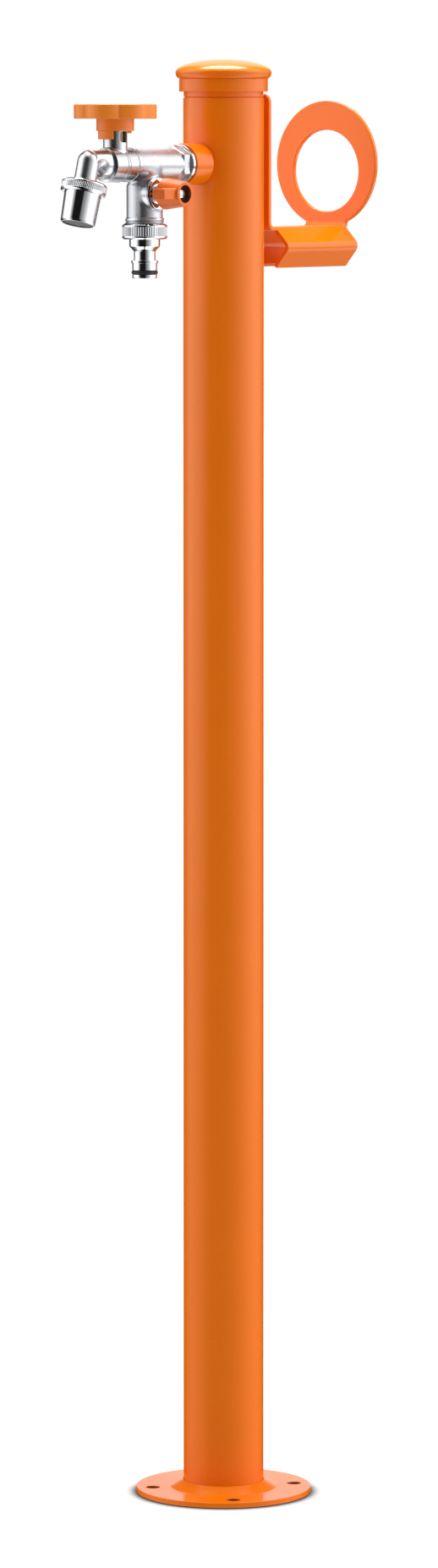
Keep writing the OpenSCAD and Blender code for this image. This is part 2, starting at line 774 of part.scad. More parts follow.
module hose_hook() {
    color("orange") union() {
        hook_spine();
        hook_strip_top();
        hook_flank();
        mirror([1, 0, 0]) hook_flank();
        difference() {
            union() {
                translate([0, ring_y1, ring_z]) rotate([90, 0, 0]) cylinder(d = ring_d, h = sheet_t);
                translate([-strip_w / 2, ring_y0, arm_z + bend_r + sheet_t])
                    cube([strip_w, sheet_t, ring_rise - ring_hole_d / 2 - bend_r]);
            }
            translate([0, ring_y1 + cut, ring_z - ring_hole_drop]) rotate([90, 0, 0])
                cylinder(d = ring_hole_d, h = sheet_t + 2 * cut);
            translate([-ring_d / 2, ring_y0 - cut, arm_z - ring_d / 2])
                cube([ring_d, sheet_t + 2 * cut, ring_d / 2 + bend_r / 2]);
            for (m = [0, 1]) mirror([m, 0, 0]) translate([strip_w / 2, ring_y0 - cut, arm_z])
                cube([ring_d / 2, sheet_t + 2 * cut, neck_rise]);
        }
    }
}

module foot_spacer() {
    color("dimgray") translate([0, 0, inlet_lift + spacer_gap])
        ring(bore_r - clear_gap, fitting_r + weld_gap, spacer_t);
}

module inlet_socket() {
    bore = riser_r + weld_gap;
    color("goldenrod") translate([0, 0, inlet_lift]) rotate_extrude() polygon([
        [inlet_r, 0], [fitting_r, 0], [fitting_r, inlet_l], [bore, inlet_l],
        [bore, inlet_l - riser_depth], [riser_bore_r, inlet_l - riser_depth],
        [riser_bore_r, inlet_thread_l], [inlet_r, inlet_thread_l]
    ]);
}

module pipe_nut(z) {
    bevel = riser_nut_af * chamfer_share;
    color("goldenrod") translate([0, 0, z]) difference() {
        hex_nut(riser_nut_af, riser_nut_h, bevel);
        translate([0, 0, -cut]) cylinder(r = riser_r + weld_gap, h = riser_nut_h + 2 * cut);
    }
}

module lower_pipe_nut() {
    pipe_nut(inlet_top);
}

module riser_pipe() {
    color("slategray") translate([0, 0, riser_z0]) ring(riser_r, riser_bore_r, riser_z1 - riser_z0);
}

module upper_pipe_nut() {
    pipe_nut(elbow_foot - riser_nut_h);
}

module riser_elbow() {
    thread_t = boss_face - spigot_l - thread_end_gap;
    color("goldenrod") difference() {
        union() {
            translate([0, 0, tap_z]) sphere(r = fitting_r);
            translate([0, 0, elbow_foot]) cylinder(r = fitting_r, h = elbow_drop);
            along_tap(0) cylinder(r = fitting_r, h = boss_back - weld_gap);
            along_tap(0) cylinder(r = half_thread_r, h = thread_t);
        }
        translate([0, 0, elbow_foot - cut]) cylinder(r = riser_r + weld_gap, h = riser_depth + cut);
        translate([0, 0, elbow_foot]) cylinder(r = riser_bore_r, h = elbow_drop);
        translate([0, 0, tap_z]) sphere(r = riser_bore_r);
        along_tap(0) cylinder(r = riser_bore_r, h = thread_t + cut);
    }
}

module inlet_gasket() {
    color("firebrick") along_tap(boss_face) ring(half_bore_r + gasket_w, half_bore_r, gasket_t);
}

module lock_ring() {
    color("silver") along_tap(lock_ring_t0) ring(half_bore_r + lock_ring_w, half_bore_r, lock_ring_t);
}

module tap_body() {
    spigot_t = boss_face - spigot_l;
    step = branch_r - branch_top_r;
    shoulder_z = knob_z + branch_top_r / 2;
    color("silver") difference() {
        union() {
            along_tap(spigot_t) cylinder(r = half_thread_r, h = hex_t0 - spigot_t + cut);
            along_tap(hex_t0) rotate(30) hex_nut(hex_af, hex_l, hex_af * chamfer_share);
            along_tap(hex_t1 - cut) cylinder(r = tap_r, h = joint_t - hex_t1 + cut);
            along_tap(joint_t - cut) cylinder(r = joint_thread_r, h = joint_thread_l + cut);
            along_branch(0) rotate_extrude() polygon([
                [0, outlet_z0], [outlet_thread_r, outlet_z0], [outlet_thread_r, outlet_z1],
                [branch_r + bead_reach, outlet_z1], [branch_r + bead_reach, bead_z], [branch_r, bead_z],
                [branch_r, shoulder_z], [branch_top_r, shoulder_z + 2 * step], [branch_top_r, tap_z], [0, tap_z]
            ]);
            along_knob(0) cylinder(r = bonnet_r, h = bonnet_x);
        }
        along_tap(spigot_t - cut) cylinder(r = water_r, h = joint_t + joint_thread_l - spigot_t + 2 * cut);
        along_branch(outlet_z0 - cut) cylinder(r = seat_hole_r, h = tap_z - outlet_z0 + cut);
        along_branch(knob_z - seat_out) cylinder(r = seat_bore_r, h = 2 * seat_out);
        along_knob(0) cylinder(r = ball_r + seat_gap, h = bonnet_x);
        along_knob(bonnet_in_x - weld_gap) cylinder(r = bonnet_thread_r + thread_gap, h = bonnet_x);
        along_knob(bonnet_x - bonnet_flange_t) cylinder(r = bonnet_r + clear_gap, h = bonnet_x);
    }
}

module front_valve_body() {
    seat_back = stem_offset - seat_out;
    seat_front = stem_offset + seat_out;
    color("gainsboro") difference() {
        union() {
            along_tap(joint_t) cylinder(r = valve_r, h = valve_l);
            along_tap(joint_t + band_offset) cylinder(r = valve_r + band_reach, h = band_w);
            along_stem(0) cylinder(r = neck_r, h = neck_l);
        }
        along_tap(joint_t - cut) cylinder(r = joint_bore_r, h = seat_back + cut);
        along_tap(joint_t) cylinder(r = seat_bore_r, h = valve_l);
        along_tap(joint_t + seat_front) cylinder(r = joint_bore_r, h = valve_l);
        along_stem(0) cylinder(r = stem_r + run_gap, h = neck_l);
        along_stem(collar_foot - clear_gap) cylinder(r = collar_bore_r, h = neck_l);
        along_stem(gland_foot) cylinder(r = gland_r + thread_gap, h = neck_l);
        along_stem(0) translate([-neck_d, -window_w / 2, window_z1 - window_h - tap_z])
            cube([2 * neck_d, window_w, window_h]);
    }
}

module front_ball_seats() {
    color("ivory") along_tap(stem_t) seats();
}

module stem_gland() {
    color("goldenrod") along_stem(gland_foot) ring(gland_r, stem_r + run_gap, neck_l - gland_foot);
}

// The outline of the spout's pipe: a flat oval
module pipe_outline(h, w) {
    for (m = [0, 1]) mirror([m, 0]) translate([(w - h) / 2, 0]) circle(d = h);
    square([w - h, h], center = true);
}

module spout() {
    spigot_t = stem_t + seat_out;
    spigot_l = valve_front_t - spigot_t;
    water_r = spout_water_d / 2;
    end_s = thread_end - aerator_thread_l;
    color("gainsboro") difference() {
        union() {
            along_tap(spigot_t) cylinder(r = joint_thread_r, h = spigot_l + cut);
            along_tap(valve_front_t) intersection() {
                sphere(r = nose_r);
                cylinder(r = nose_r, h = nose_r);
            }
            along_tap(valve_front_t) translate([0, spout_rise, 0])
                linear_extrude(height = spout_reach) pipe_outline(pipe_h, leg_d);
            along_leg(0) sphere(r = leg_r);
            along_leg(0) cylinder(r = leg_r, h = leg_l);
            along_leg(end_s) cylinder(r = outlet_thread_r, h = aerator_thread_l);
        }
        translate([0, -spigot_t + cut, tap_z]) rotate([90, 0, 0]) cylinder(r = water_r, h = spigot_l + nose_r / 2);
        along_tap(valve_front_t) translate([0, spout_rise, 0]) cylinder(r = water_r, h = spout_reach);
        along_leg(0) sphere(r = water_r);
        along_leg(0) cylinder(r = water_r, h = thread_end + cut);
    }
}

module aerator_washer() {
    color("black") along_leg(thread_end) ring(outlet_thread_r - weld_gap, water_r, washer_t);
}

module aerator_nut() {
    band = aerator_nut_l / 4;
    color("silver") along_leg(leg_l) difference() {
        union() {
            rotate_extrude() polygon([
                [0, 0], [nut_r - band / 2, 0], [nut_r, band / 2], [nut_r, band], [0, band]
            ]);
            translate([0, 0, band]) ridges(nut_r, aerator_nut_l - 2 * band);
            translate([0, 0, aerator_nut_l - band]) rotate_extrude() polygon([
                [0, 0], [nut_r, 0], [nut_r, band / 2], [nut_r - band / 2, band], [0, band]
            ]);
        }
        translate([0, 0, -cut]) cylinder(r = outlet_bore_r, h = aerator_nut_l - lip_t + cut);
        cylinder(r = housing_r + weld_gap, h = aerator_nut_l + cut);
    }
}

module aerator_housing() {
    color("silver") along_leg(0) rotate_extrude() polygon([
        [housing_r - housing_wall, housing_s0], [outlet_thread_r, housing_s0],
        [outlet_thread_r, lip_s - lip_t], [housing_r, lip_s - lip_t], [housing_r, lip_s],
        [housing_mouth_r, housing_end - housing_wall],
        [housing_mouth_r - housing_wall / 2, housing_end],
        [housing_mouth_r - housing_wall, housing_end],
        [housing_mouth_r - housing_wall, lip_s], [housing_r - housing_wall, lip_s - lip_t]
    ]);
}

module aerator_mesh() {
    color("gray") along_leg(housing_end - mesh_set_back - mesh_t)
        cylinder(r = housing_mouth_r - housing_wall - weld_gap, h = mesh_t);
}

module branch_ball_seats() {
    color("ivory") along_branch(knob_z) seats();
}

module branch_bonnet() {
    collar_x = collar_foot + stem_collar_t + stem_ring_d + clear_gap;
    color("silver") difference() {
        union() {
            along_knob(bonnet_in_x) cylinder(r = bonnet_thread_r, h = bonnet_depth + cut);
            along_knob(bonnet_x - bonnet_flange_t)
                cylinder(r1 = bonnet_r, r2 = bonnet_r - bonnet_flange_t / 2, h = bonnet_flange_t);
            along_knob(bonnet_x - cut) cylinder(r = bonnet_nose_r, h = bonnet_nose_l + cut);
        }
        along_knob(0) cylinder(r = stem_r + run_gap, h = bonnet_end_x + cut);
        along_knob(0) cylinder(r = collar_bore_r, h = collar_x);
    }
}

module hose_washer() {
    color("black") along_branch(washer_z) ring(outlet_thread_r - weld_gap, water_r, washer_t);
}

module hose_connector() {
    water_r = groove_r - plug_wall;
    plug_r = plug_d / 2;
    end_r = plug_r - plug_end_round;
    bevel = connector_band_h / 2;
    ridge_h = connector_nut_l - 2 * connector_band_h;
    color("silver") translate([0, -branch_t, 0]) difference() {
        union() {
            rotate_extrude() polygon([
                [0, connector_z1], [nut_r - bevel, connector_z1], [nut_r, connector_z1 - bevel],
                [nut_r, connector_z1 - connector_band_h], [0, connector_z1 - connector_band_h]
            ]);
            translate([0, 0, connector_z0 + connector_band_h]) ridges(nut_r, ridge_h);
            rotate_extrude() polygon([
                [0, connector_z0 + connector_band_h], [nut_r, connector_z0 + connector_band_h],
                [nut_r, connector_z0 + bevel], [nut_r - bevel, connector_z0],
                [bell_d / 2, connector_z0], [bell_d / 2, taper_z1], [plug_neck_d / 2, plug_neck_z1],
                [plug_neck_d / 2, catch_z1], [catch_d / 2, catch_z1], [catch_d / 2, plug_z1],
                [plug_r, plug_z1], [plug_r, groove_z1], [groove_r, groove_z1],
                [groove_r, groove_z0], [plug_r, groove_z0], [plug_r, plug_end_z + plug_end_round],
                [end_r, plug_end_z], [0, plug_end_z]
            ]);
        }
        translate([0, 0, washer_z]) cylinder(r = outlet_bore_r, h = connector_nut_l + cut);
        translate([0, 0, plug_end_z - cut]) cylinder(r = water_r, h = washer_z - plug_end_z + 2 * cut);
    }
}

module connector_o_ring() {
    color("black") along_branch((groove_z0 + groove_z1) / 2) rubber_ring(plug_ring_r, plug_ring_d);
}

// A stop lug under the hub, centred on the direction of the given angle
module lug(direction, sweep, l) {
    inner = neck_r + 2 * clear_gap;
    rotate(direction - sweep / 2) rotate_extrude(angle = sweep)
        translate([inner, -l]) square([hub_r - lug_set_in - inner, l + cut]);
}

// The handwheel's outline, from valley to valley round each lobe
function lobe_outline() =
    let (
        half_pitch = 180 / lobe_count,
        valley = lobe_place * cos(half_pitch) + sqrt(lobe_r * lobe_r - pow(lobe_place * sin(half_pitch), 2)),
        half_sweep = atan2(valley * sin(half_pitch), valley * cos(half_pitch) - lobe_place)
    )
    [for (i = [0 : lobe_count - 1], j = [0 : lobe_steps - 1])
        let (
            direction = lobe_turn - 90 + 2 * half_pitch * i,
            w = direction + half_sweep * (2 * j / lobe_steps - 1)
        )
        [lobe_place * cos(direction) + lobe_r * cos(w), lobe_place * sin(direction) + lobe_r * sin(w)]];

module handwheel() {
    color("orange") translate([0, -stem_t, 0]) difference() {
        union() {
            translate([0, 0, wheel_z0]) linear_extrude(height = wheel_t) polygon(lobe_outline());
            translate([0, 0, hub_z0]) cylinder(r = hub_r, h = hub_l + cut);
            translate([0, 0, hub_z0]) lug(-90, long_lug_angle, long_lug_l);
            translate([0, 0, hub_z0]) lug(90, short_lug_angle, short_lug_l);
        }
        translate([0, 0, hub_z0 - cut]) cylinder(r = neck_r + clear_gap, h = hub_over_neck + clear_gap + cut);
        translate([-square_af / 2 - weld_gap, -square_af / 2 - weld_gap, hub_z0])
            cube([square_af + 2 * weld_gap, square_af + 2 * weld_gap, wheel_screw_z - hub_z0 + cut]);
        translate([0, 0, wheel_screw_z]) cylinder(r = recess_r, h = wheel_t);
        translate([0, 0, dish_z]) cylinder(d = dish_d, h = dish_h + cut);
    }
}

module handwheel_screw() {
    color("silver") translate([0, -stem_t, wheel_screw_z]) screw();
}

module front_stem() {
    color("goldenrod") along_stem(0) stem(square_z0 - tap_z, wheel_screw_z - tap_z - weld_gap);
}

module front_stem_o_ring() {
    color("black") along_stem(collar_foot + stem_collar_t + stem_ring_d / 2)
        rubber_ring(stem_ring_r + weld_gap, stem_ring_d);
}

module front_ball() {
    color("silver") along_stem(0) ball();
}

module branch_knob() {
    color("orangered") difference() {
        union() {
            along_knob(knob_x0) cylinder(d1 = knob_foot_d, d2 = knob_end_d, h = knob_l);
            translate([knob_x1 - lever_set_back - lever_w, -branch_t - lever_reach, knob_z - lever_h / 2])
                cube([lever_w, lever_reach, lever_h]);
        }
        along_knob(knob_screw_x) cylinder(r = recess_r, h = knob_l);
        translate([0, -branch_t - square_af / 2 - weld_gap, knob_z - square_af / 2 - weld_gap])
            cube([knob_screw_x + cut, square_af + 2 * weld_gap, square_af + 2 * weld_gap]);
        along_knob(knob_x0 - cut) cylinder(r = stem_r + clear_gap, h = clear_gap * 2 + cut);
    }
}

module branch_knob_screw() {
    color("silver") along_knob(knob_screw_x) screw();
}

module branch_stem() {
    color("goldenrod") along_knob(0) rotate(90) stem(knob_x0 + clear_gap, knob_screw_x - weld_gap);
}

module branch_stem_o_ring() {
    color("black") along_knob(collar_foot + stem_collar_t + stem_ring_d / 2)
        rubber_ring(stem_ring_r + weld_gap, stem_ring_d);
}

module branch_ball() {
    color("silver") along_knob(0) rotate(90) ball();
}

base_flange();
post_tube();
post_cap();
cap_o_ring();
outlet_boss();
hose_hook();
foot_spacer();
inlet_socket();
lower_pipe_nut();
riser_pipe();
upper_pipe_nut();
riser_elbow();
inlet_gasket();
lock_ring();
tap_body();
front_valve_body();
front_ball_seats();
stem_gland();
spout();
aerator_washer();
aerator_nut();
aerator_housing();
aerator_mesh();
branch_ball_seats();
branch_bonnet();
hose_washer();
hose_connector();
connector_o_ring();
handwheel();
handwheel_screw();
front_stem();
front_stem_o_ring();
front_ball();
branch_knob();
branch_knob_screw();
branch_stem();
branch_stem_o_ring();
branch_ball();
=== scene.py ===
"""Dresses the garden water post: painted post and hook, cast and polished taps, and a white studio.

Lengths are in metres in the frame's own axes. The tap points to -Y, the side knob to +X, the
hook to +Y, and +Z is up.
"""
import math

import bmesh
import bpy
import numpy as np
from mathutils import Matrix, Vector


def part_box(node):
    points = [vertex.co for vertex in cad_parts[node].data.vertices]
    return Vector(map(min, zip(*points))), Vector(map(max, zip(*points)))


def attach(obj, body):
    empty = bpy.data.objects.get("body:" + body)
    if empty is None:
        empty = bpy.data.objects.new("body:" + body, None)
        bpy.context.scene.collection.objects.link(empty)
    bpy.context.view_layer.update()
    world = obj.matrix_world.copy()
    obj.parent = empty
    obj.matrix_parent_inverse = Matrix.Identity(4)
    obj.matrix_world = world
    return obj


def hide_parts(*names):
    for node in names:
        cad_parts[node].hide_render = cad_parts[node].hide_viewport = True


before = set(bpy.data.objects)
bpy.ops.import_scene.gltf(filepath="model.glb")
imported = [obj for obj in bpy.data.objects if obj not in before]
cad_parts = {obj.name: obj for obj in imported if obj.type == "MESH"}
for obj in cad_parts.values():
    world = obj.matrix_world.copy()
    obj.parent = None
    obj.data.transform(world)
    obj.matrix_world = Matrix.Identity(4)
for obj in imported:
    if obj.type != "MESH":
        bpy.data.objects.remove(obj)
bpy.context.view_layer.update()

bl_info = {
    "name": "Garden Water Post",
    "version": (1, 0, 0),
    "blender": (4, 5, 0),
    "location": "View3D > Sidebar > Water Post",
    "description": "Builds the painted post, its hook and its double ball tap around the packed frame",
    "category": "Object",
}

X, Y, Z = 0, 1, 2
MM = 0.001
# Sides of a turned piece, and of the post's wide ones
AROUND, WIDE_AROUND = 128, 192
# Shares of a knurl's depth: from the nut's surface to the middle of its round ridges, and the
# ridges' radius where they cross and where they stand upright
RIDGE_IN, CROSSED_RIDGE, UPRIGHT_RIDGE = 0.8, 0.6, 0.7
# Shares of a screw's head: half the length and half the width of its cross, and the cross's floor
CROSS_HALF, CROSS_WIDTH, CROSS_FLOOR = 0.58, 0.13, 0.45
# Distance at which two points are merged, and the length under which an edge is dropped
MERGE, TINY = 1e-7, 1e-8
# How dark the painted shade makes the bottoms of the bolt holes and of the neck's window, from 0 to 1
PAINTED_HOLE_SHADE = 0.85
# Angle from which an edge stays sharp, and the same for the threads
SHARP_FROM, THREAD_SHARP_FROM = math.radians(35), math.radians(50)
# Sides of the bolt holes, of the nuts' round ridges and of the wires
HOLE_SIDES, RIDGE_SIDES, WIRE_SIDES = 64, 8, 6


def low(node, axis):
    """Lowest place of a frame node along an axis."""
    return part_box(node)[0][axis]


def high(node, axis):
    """Highest place of a frame node along an axis."""
    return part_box(node)[1][axis]


def middle(node, axis):
    """Middle of a frame node along an axis."""
    return (low(node, axis) + high(node, axis)) / 2


POST_R = high("post_tube", X)
TAP_Z = middle("lock_ring", Z)
JOINT_Y = high("front_valve_body", Y)
FACE_Y = low("front_valve_body", Y)
STEM_Y = middle("stem_gland", Y)
BRANCH_Y = middle("branch_ball_seats", Y)
KNOB_Z = middle("branch_ball_seats", Z)


def size(name, description, millimetres):
    """A length that the user can change, given in millimetres."""
    return bpy.props.FloatProperty(
        name=name, description=description, default=millimetres * MM, min=0.0, precision=5,
        subtype="DISTANCE", unit="LENGTH",
    )


def share(name, description, value, most=1.0, least=0.0):
    """A plain number that the user can change."""
    return bpy.props.FloatProperty(name=name, description=description, default=value, min=least, max=most)


def angle(name, description, degrees):
    """An angle that the user can change."""
    return bpy.props.FloatProperty(
        name=name, description=description, default=math.radians(degrees), subtype="ANGLE", unit="ROTATION",
    )


def count(name, description, value):
    """A number of copies that the user can change."""
    return bpy.props.IntProperty(name=name, description=description, default=value, min=1)


def tint(name, description, red, green, blue):
    """A colour that the user can change, in linear values."""
    return bpy.props.FloatVectorProperty(
        name=name, description=description, default=(red, green, blue), size=3, min=0.0, max=1.0,
        subtype="COLOR",
    )


class WaterpostColours(bpy.types.PropertyGroup):
    """Colours of the finishes."""

    paint: tint("Paint", "Powder coat of the post, cap, flange, boss and hook", 0.87, 0.176, 0.001)
    wheel: tint("Handwheel", "Plastic of the handwheel", 0.86, 0.225, 0.014)
    knob: tint("Knob", "Plastic of the side knob", 0.78, 0.145, 0.010)
    chrome: tint("Chrome", "Plating of the polished parts", 0.63, 0.64, 0.66)
    cast: tint("Cast chrome", "Plating over the cast body", 0.51, 0.52, 0.54)
    rubber: tint("Rubber", "Washers and rings", 0.013, 0.013, 0.014)
    seat: tint("Seats", "Plastic of the ball seats", 0.78, 0.77, 0.73)
    spacer: tint("Spacer", "Plastic of the foot spacer", 0.06, 0.06, 0.065)
    pipe: tint("Pipe", "Plastic of the riser pipe", 0.19, 0.21, 0.23)
    brass: tint("Brass", "Bare brass of the fittings", 0.60, 0.37, 0.16)
    screw: tint("Screws", "Steel of the screws", 0.66, 0.66, 0.65)
    cloth: tint("Mesh", "Steel of the aerator's mesh", 0.13, 0.13, 0.13)
    fibre: tint("Fibre", "Gasket between boss and lock ring", 0.24, 0.035, 0.02)


class WaterpostPost(bpy.types.PropertyGroup):
    """Sizes of the post, its cap, flange, boss and hook."""

    edge: size("Edge", "Rounding of the painted edges", 0.4)
    cap_neck: size("Cap neck", "Height of the cap's neck over the tube", 4.2)
    cap_neck_in: size("Neck set-in", "Set-in of the neck from the tube's surface", 0.3)
    cap_joint: size("Cap joint", "Depth of the groove where the cap meets the tube", 0.9)
    cap_skirt: size("Cap skirt", "Height of the cap's skirt", 8.8)
    cap_skirt_out: size("Skirt reach", "How far the skirt stands out from the tube", 2.75)
    cap_head_edge: size("Head edge", "Height of the head's lower, rounded edge", 4.2)
    cap_plug_wall: size("Plug wall", "Wall of the plug in the tube", 3.2)
    flange: size("Flange", "Thickness of the flange", 3.5)
    collar_out: size("Collar", "How far the collar reaches out from the post", 9.4)
    collar_land: size("Collar land", "Flat land on top of the collar", 0.8)
    collar_groove: size("Collar groove", "Width of the groove between the collar and the tube", 0.35)
    bolt_circle: size("Bolt circle", "Diameter of the circle through the bolt holes", 98)
    bolt_hole: size("Bolt hole", "Diameter of each bolt hole", 9)
    hole_chamfer: size("Hole chamfer", "Chamfer at the upper end of each bolt hole", 0.5)
    bolt_turn: angle("Bolt turn", "Angle of the first bolt hole from +X", -43)
    bolts: count("Bolts", "Number of bolt holes", 4)
    seam: size("Seam", "Gap at the seam between the post and what is round it", 0.05)
    wall: size("Wall", "Wall of the post tube", 2)
    cap_ring: size("Cap ring", "Half height of the groove of the cap's rubber ring", 1.1)
    sheet: size("Sheet", "Thickness of the hook's sheet", 3)
    sheet_edge: size("Sheet edge", "Radius of the sheet's edges", 0.6)
    strip_half: size("Strip", "Half the width of the strip and the arm's top", 17.5)
    strip_length: size("Strip length", "Height from the arm's top to the strip's upper edge", 90.6)
    corner: size("Strip corner", "Radius of the strip's upper corners", 6)
    bend: size("Bend", "Inner radius of the sheet's bends", 3)
    ring: size("Ring", "Outer radius of the ring", 43.5)
    ring_hole: size("Ring hole", "Radius of the ring's hole", 28.25)
    ring_rise: size("Ring rise", "Height of the ring's centre over the arm's top", 42.4)
    ring_drop: size("Ring drop", "How far the hole sits under the ring's centre", 4.8)
    flank_reach: size("Flank reach", "How far the flanks' fold stands out beside the arm's top", 11.5)
    flank_mid: size("Flank middle", "Depth of the flanks' fold under the arm's top", 13.6)
    flank: size("Flank", "Depth of the flanks' lower edge under the arm's top", 27.3)
    flank_bend: size("Flank bend", "Radius of the flanks' fold", 4)
    flank_gap: size("Flank gap", "Gap from the strip to the flanks", 5.4)
    flank_back: size("Flank set-back", "Set-back of the flanks from the ring's outer face", 2.2)
    fold_steps: count("Fold steps", "Steps round each bend of the sheet", 10)
    hook_step: size("Hook step", "Step of the hook's mesh", 0.62)
    boss_neck: size("Boss neck", "Radius of the boss's neck, behind its flat back", 11.7)
    boss_bore_in: size("Boss bore", "Radius of the tube's bore less that of the boss's thread", 14.94)


class WaterpostTap(bpy.types.PropertyGroup):
    """Sizes of the tap's metal pieces."""

    hexagon: size("Hexagon", "Size across the hexagon's flats", 22.4)
    hexagon_gap: size("Hexagon gap", "Gap between the lock ring and the hexagon", 0.6)
    hexagon_length: size("Hexagon length", "Length of the hexagon", 6.6)
    tube: size("Tube", "Radius of the tap's tube", 11)
    branch: size("Branch", "Radius of the branch", 12.2)
    branch_top: size("Branch top", "Radius of the branch where it meets the tube", 10.6)
    cast_fillet: size("Cast fillet", "Fillet in the cast body's corners", 2.2)
    cast_edge: size("Cast edge", "Rounding of the cast body's edges", 0.5)
    bead: size("Bead", "How far the bead under the branch stands out", 0.35)
    bead_height: size("Bead height", "Height of the bead under the branch", 0.9)
    bonnet_seat: size("Bonnet seat", "Thickness of the bonnet's flange", 1.6)
    bonnet: size("Bonnet", "Radius of the bonnet", 11.2)
    bonnet_nose: size("Bonnet nose", "Radius of the bonnet's nose", 7)
    bonnet_nose_length: size("Nose length", "Length of the bonnet's nose", 3.6)
    valve: size("Valve", "Radius of the front valve", 11.5)
    band_start: size("Band place", "Distance from the joint to the raised band", 13.9)
    band_width: size("Band width", "Width of the raised band", 2.2)
    band: size("Band", "How far the band stands out", 0.3)
    line_place: size("Line place", "Distance from the joint to the fine groove", 4.7)
    line_depth: size("Line depth", "Depth of the fine grooves", 0.4)
    window_edge: size("Window edge", "Rounding of the window's corners", 1.4)
    face_tilt: angle("Face tilt", "Slope of the valve's front edge", 35)
    neck: size("Neck", "Radius of the stem's neck", 8.1)
    window: size("Window", "Width of the neck's window", 6.6)
    window_low: size("Window foot", "Height of the window's lower edge over the tap's axis", 15.1)
    window_high: size("Window head", "Height of the window's upper edge over the tap's axis", 22.3)
    nose: size("Nose", "Radius of the spout's rounded nose", 9)
    pipe_width: size("Pipe width", "Width of the spout's pipe and diameter of its leg", 15)
    pipe_height: size("Pipe height", "Height of the spout's pipe", 10.8)
    pipe_rise: size("Pipe rise", "Height of the pipe over the tap's axis", 4.4)
    spout_reach: size("Spout reach", "Distance from the valve's face to the bend", 15.4)
    leg_tilt: angle("Leg tilt", "Forward lean of the spout's leg", 15.5)
    leg_length: size("Leg", "Length of the leg from the bend to the nut", 14.4)
    water_way: size("Water way", "Radius of the water ways", 4.2)
    spout_way: size("Spout way", "Radius of the spout's water way", 3.8)
    tap_way: size("Tap way", "Radius of the tap's water way", 4.5)
    aerator_thread: size("Aerator thread", "Length of the spout's outlet thread", 4)
    bend_blend: size("Bend blend", "Blend between the pipe and the bend", 1.0)
    nose_fillet: size("Nose fillet", "Fillet between the nose and the pipe", 2.5)
    hexagon_chamfer: size("Hexagon chamfer", "How far the hexagon's corners are turned off", 0.7)
    shoulder: size("Shoulder", "Height of the branch's shoulder", 3.2)
    thread_shown: size("Thread shown", "Thread between the bead and the connector's nut", 3.1)
    thread: size("Inlet thread", "Radius of the inlet's thread", 10.478)
    thread_gap: size("Thread gap", "Gap round each thread", 0.08)
    joint: size("Joint thread", "Radius of the joint's thread", 9.4)
    stem: size("Stem", "Radius of the stems", 3)
    stem_gap: size("Stem gap", "Gap round the stems", 0.06)
    collar_cup: size("Collar cup", "Height of the collar's cup over the tap's axis", 8.45)
    clear: size("Clearance", "Wide gap round moving pieces", 0.35)
    seam: size("Seam", "Fine gap between seated pieces", 0.05)
    ring_edge: size("Ring edge", "Rounding of the turned rings", 0.3)
    valve_edge: size("Valve edge", "Rounding of the front valve's edges", 0.6)
    neck_fillet: size("Neck fillet", "Fillet between valve and neck", 0.8)
    thread_pitch: size("Thread pitch", "Pitch of the outlet's thread", 1.81)
    thread_depth: size("Thread depth", "Depth of the outlet's thread", 1.0)
    step: size("Mesh step", "Step of the casting's mesh", 0.4)
    fine_step: size("Fine step", "Step of the valve's and the spout's meshes", 0.35)


class WaterpostFittings(bpy.types.PropertyGroup):
    """Sizes of the nuts, the aerator and the hose plug."""

    nut_length: size("Aerator nut", "Length of the aerator's nut", 7.8)
    knurl_depth: size("Knurl depth", "Depth of the nuts' knurls", 0.7)
    ridges: count("Ridges", "Ridges round the hose connector's nut", 60)
    diamonds: count("Diamonds", "Slanted ridges each way round the aerator's nut", 64)
    slant: angle("Slant", "Slant of the aerator nut's ridges", 32)
    housing_wall: size("Housing wall", "Wall of the aerator's housing", 1.2)
    housing_length: size("Housing", "Length of the housing under the nut", 20.5)
    cloth_pitch: size("Cloth pitch", "Distance between the mesh's wires", 0.9)
    cloth_wire: size("Cloth wire", "Diameter of the mesh's wires", 0.34)
    connector_nut: size("Connector nut", "Height of the hose connector's nut", 10.3)
    connector_band: size("Connector band", "Smooth band at each end of the nut", 2.1)
    bell: size("Bell", "Radius of the bell under the nut", 10.4)
    bell_height: size("Bell height", "Height of the bell", 4.8)
    taper_height: size("Taper height", "Height of the taper under the bell", 3.3)
    plug_neck: size("Plug neck", "Radius of the plug's neck", 7.3)
    plug_neck_length: size("Neck length", "Length of the plug's neck", 6)
    catch: size("Catch ring", "Radius of the plug's catch ring", 9.05)
    catch_height: size("Catch height", "Height of the plug's catch ring", 2)
    plug: size("Plug", "Radius of the plug's body", 8.4)
    plug_bore: size("Plug bore", "Radius of the plug's bore", 4.7)
    edge: size("Edge", "Rounding of the turned edges", 0.25)
    lip: size("Lip", "Thickness of the aerator nut's lip", 1.0)
    housing: size("Housing radius", "Radius of the housing at the nut", 12.4)
    housing_mouth: size("Mouth", "Radius of the housing at its mouth", 11.7)
    washer: size("Washer", "Thickness of the washers", 1.8)
    cloth_set_back: size("Cloth set-back", "Set-back of the mesh in the mouth", 0.8)
    cloth_depth: size("Insert depth", "Depth of the aerator's insert", 6)


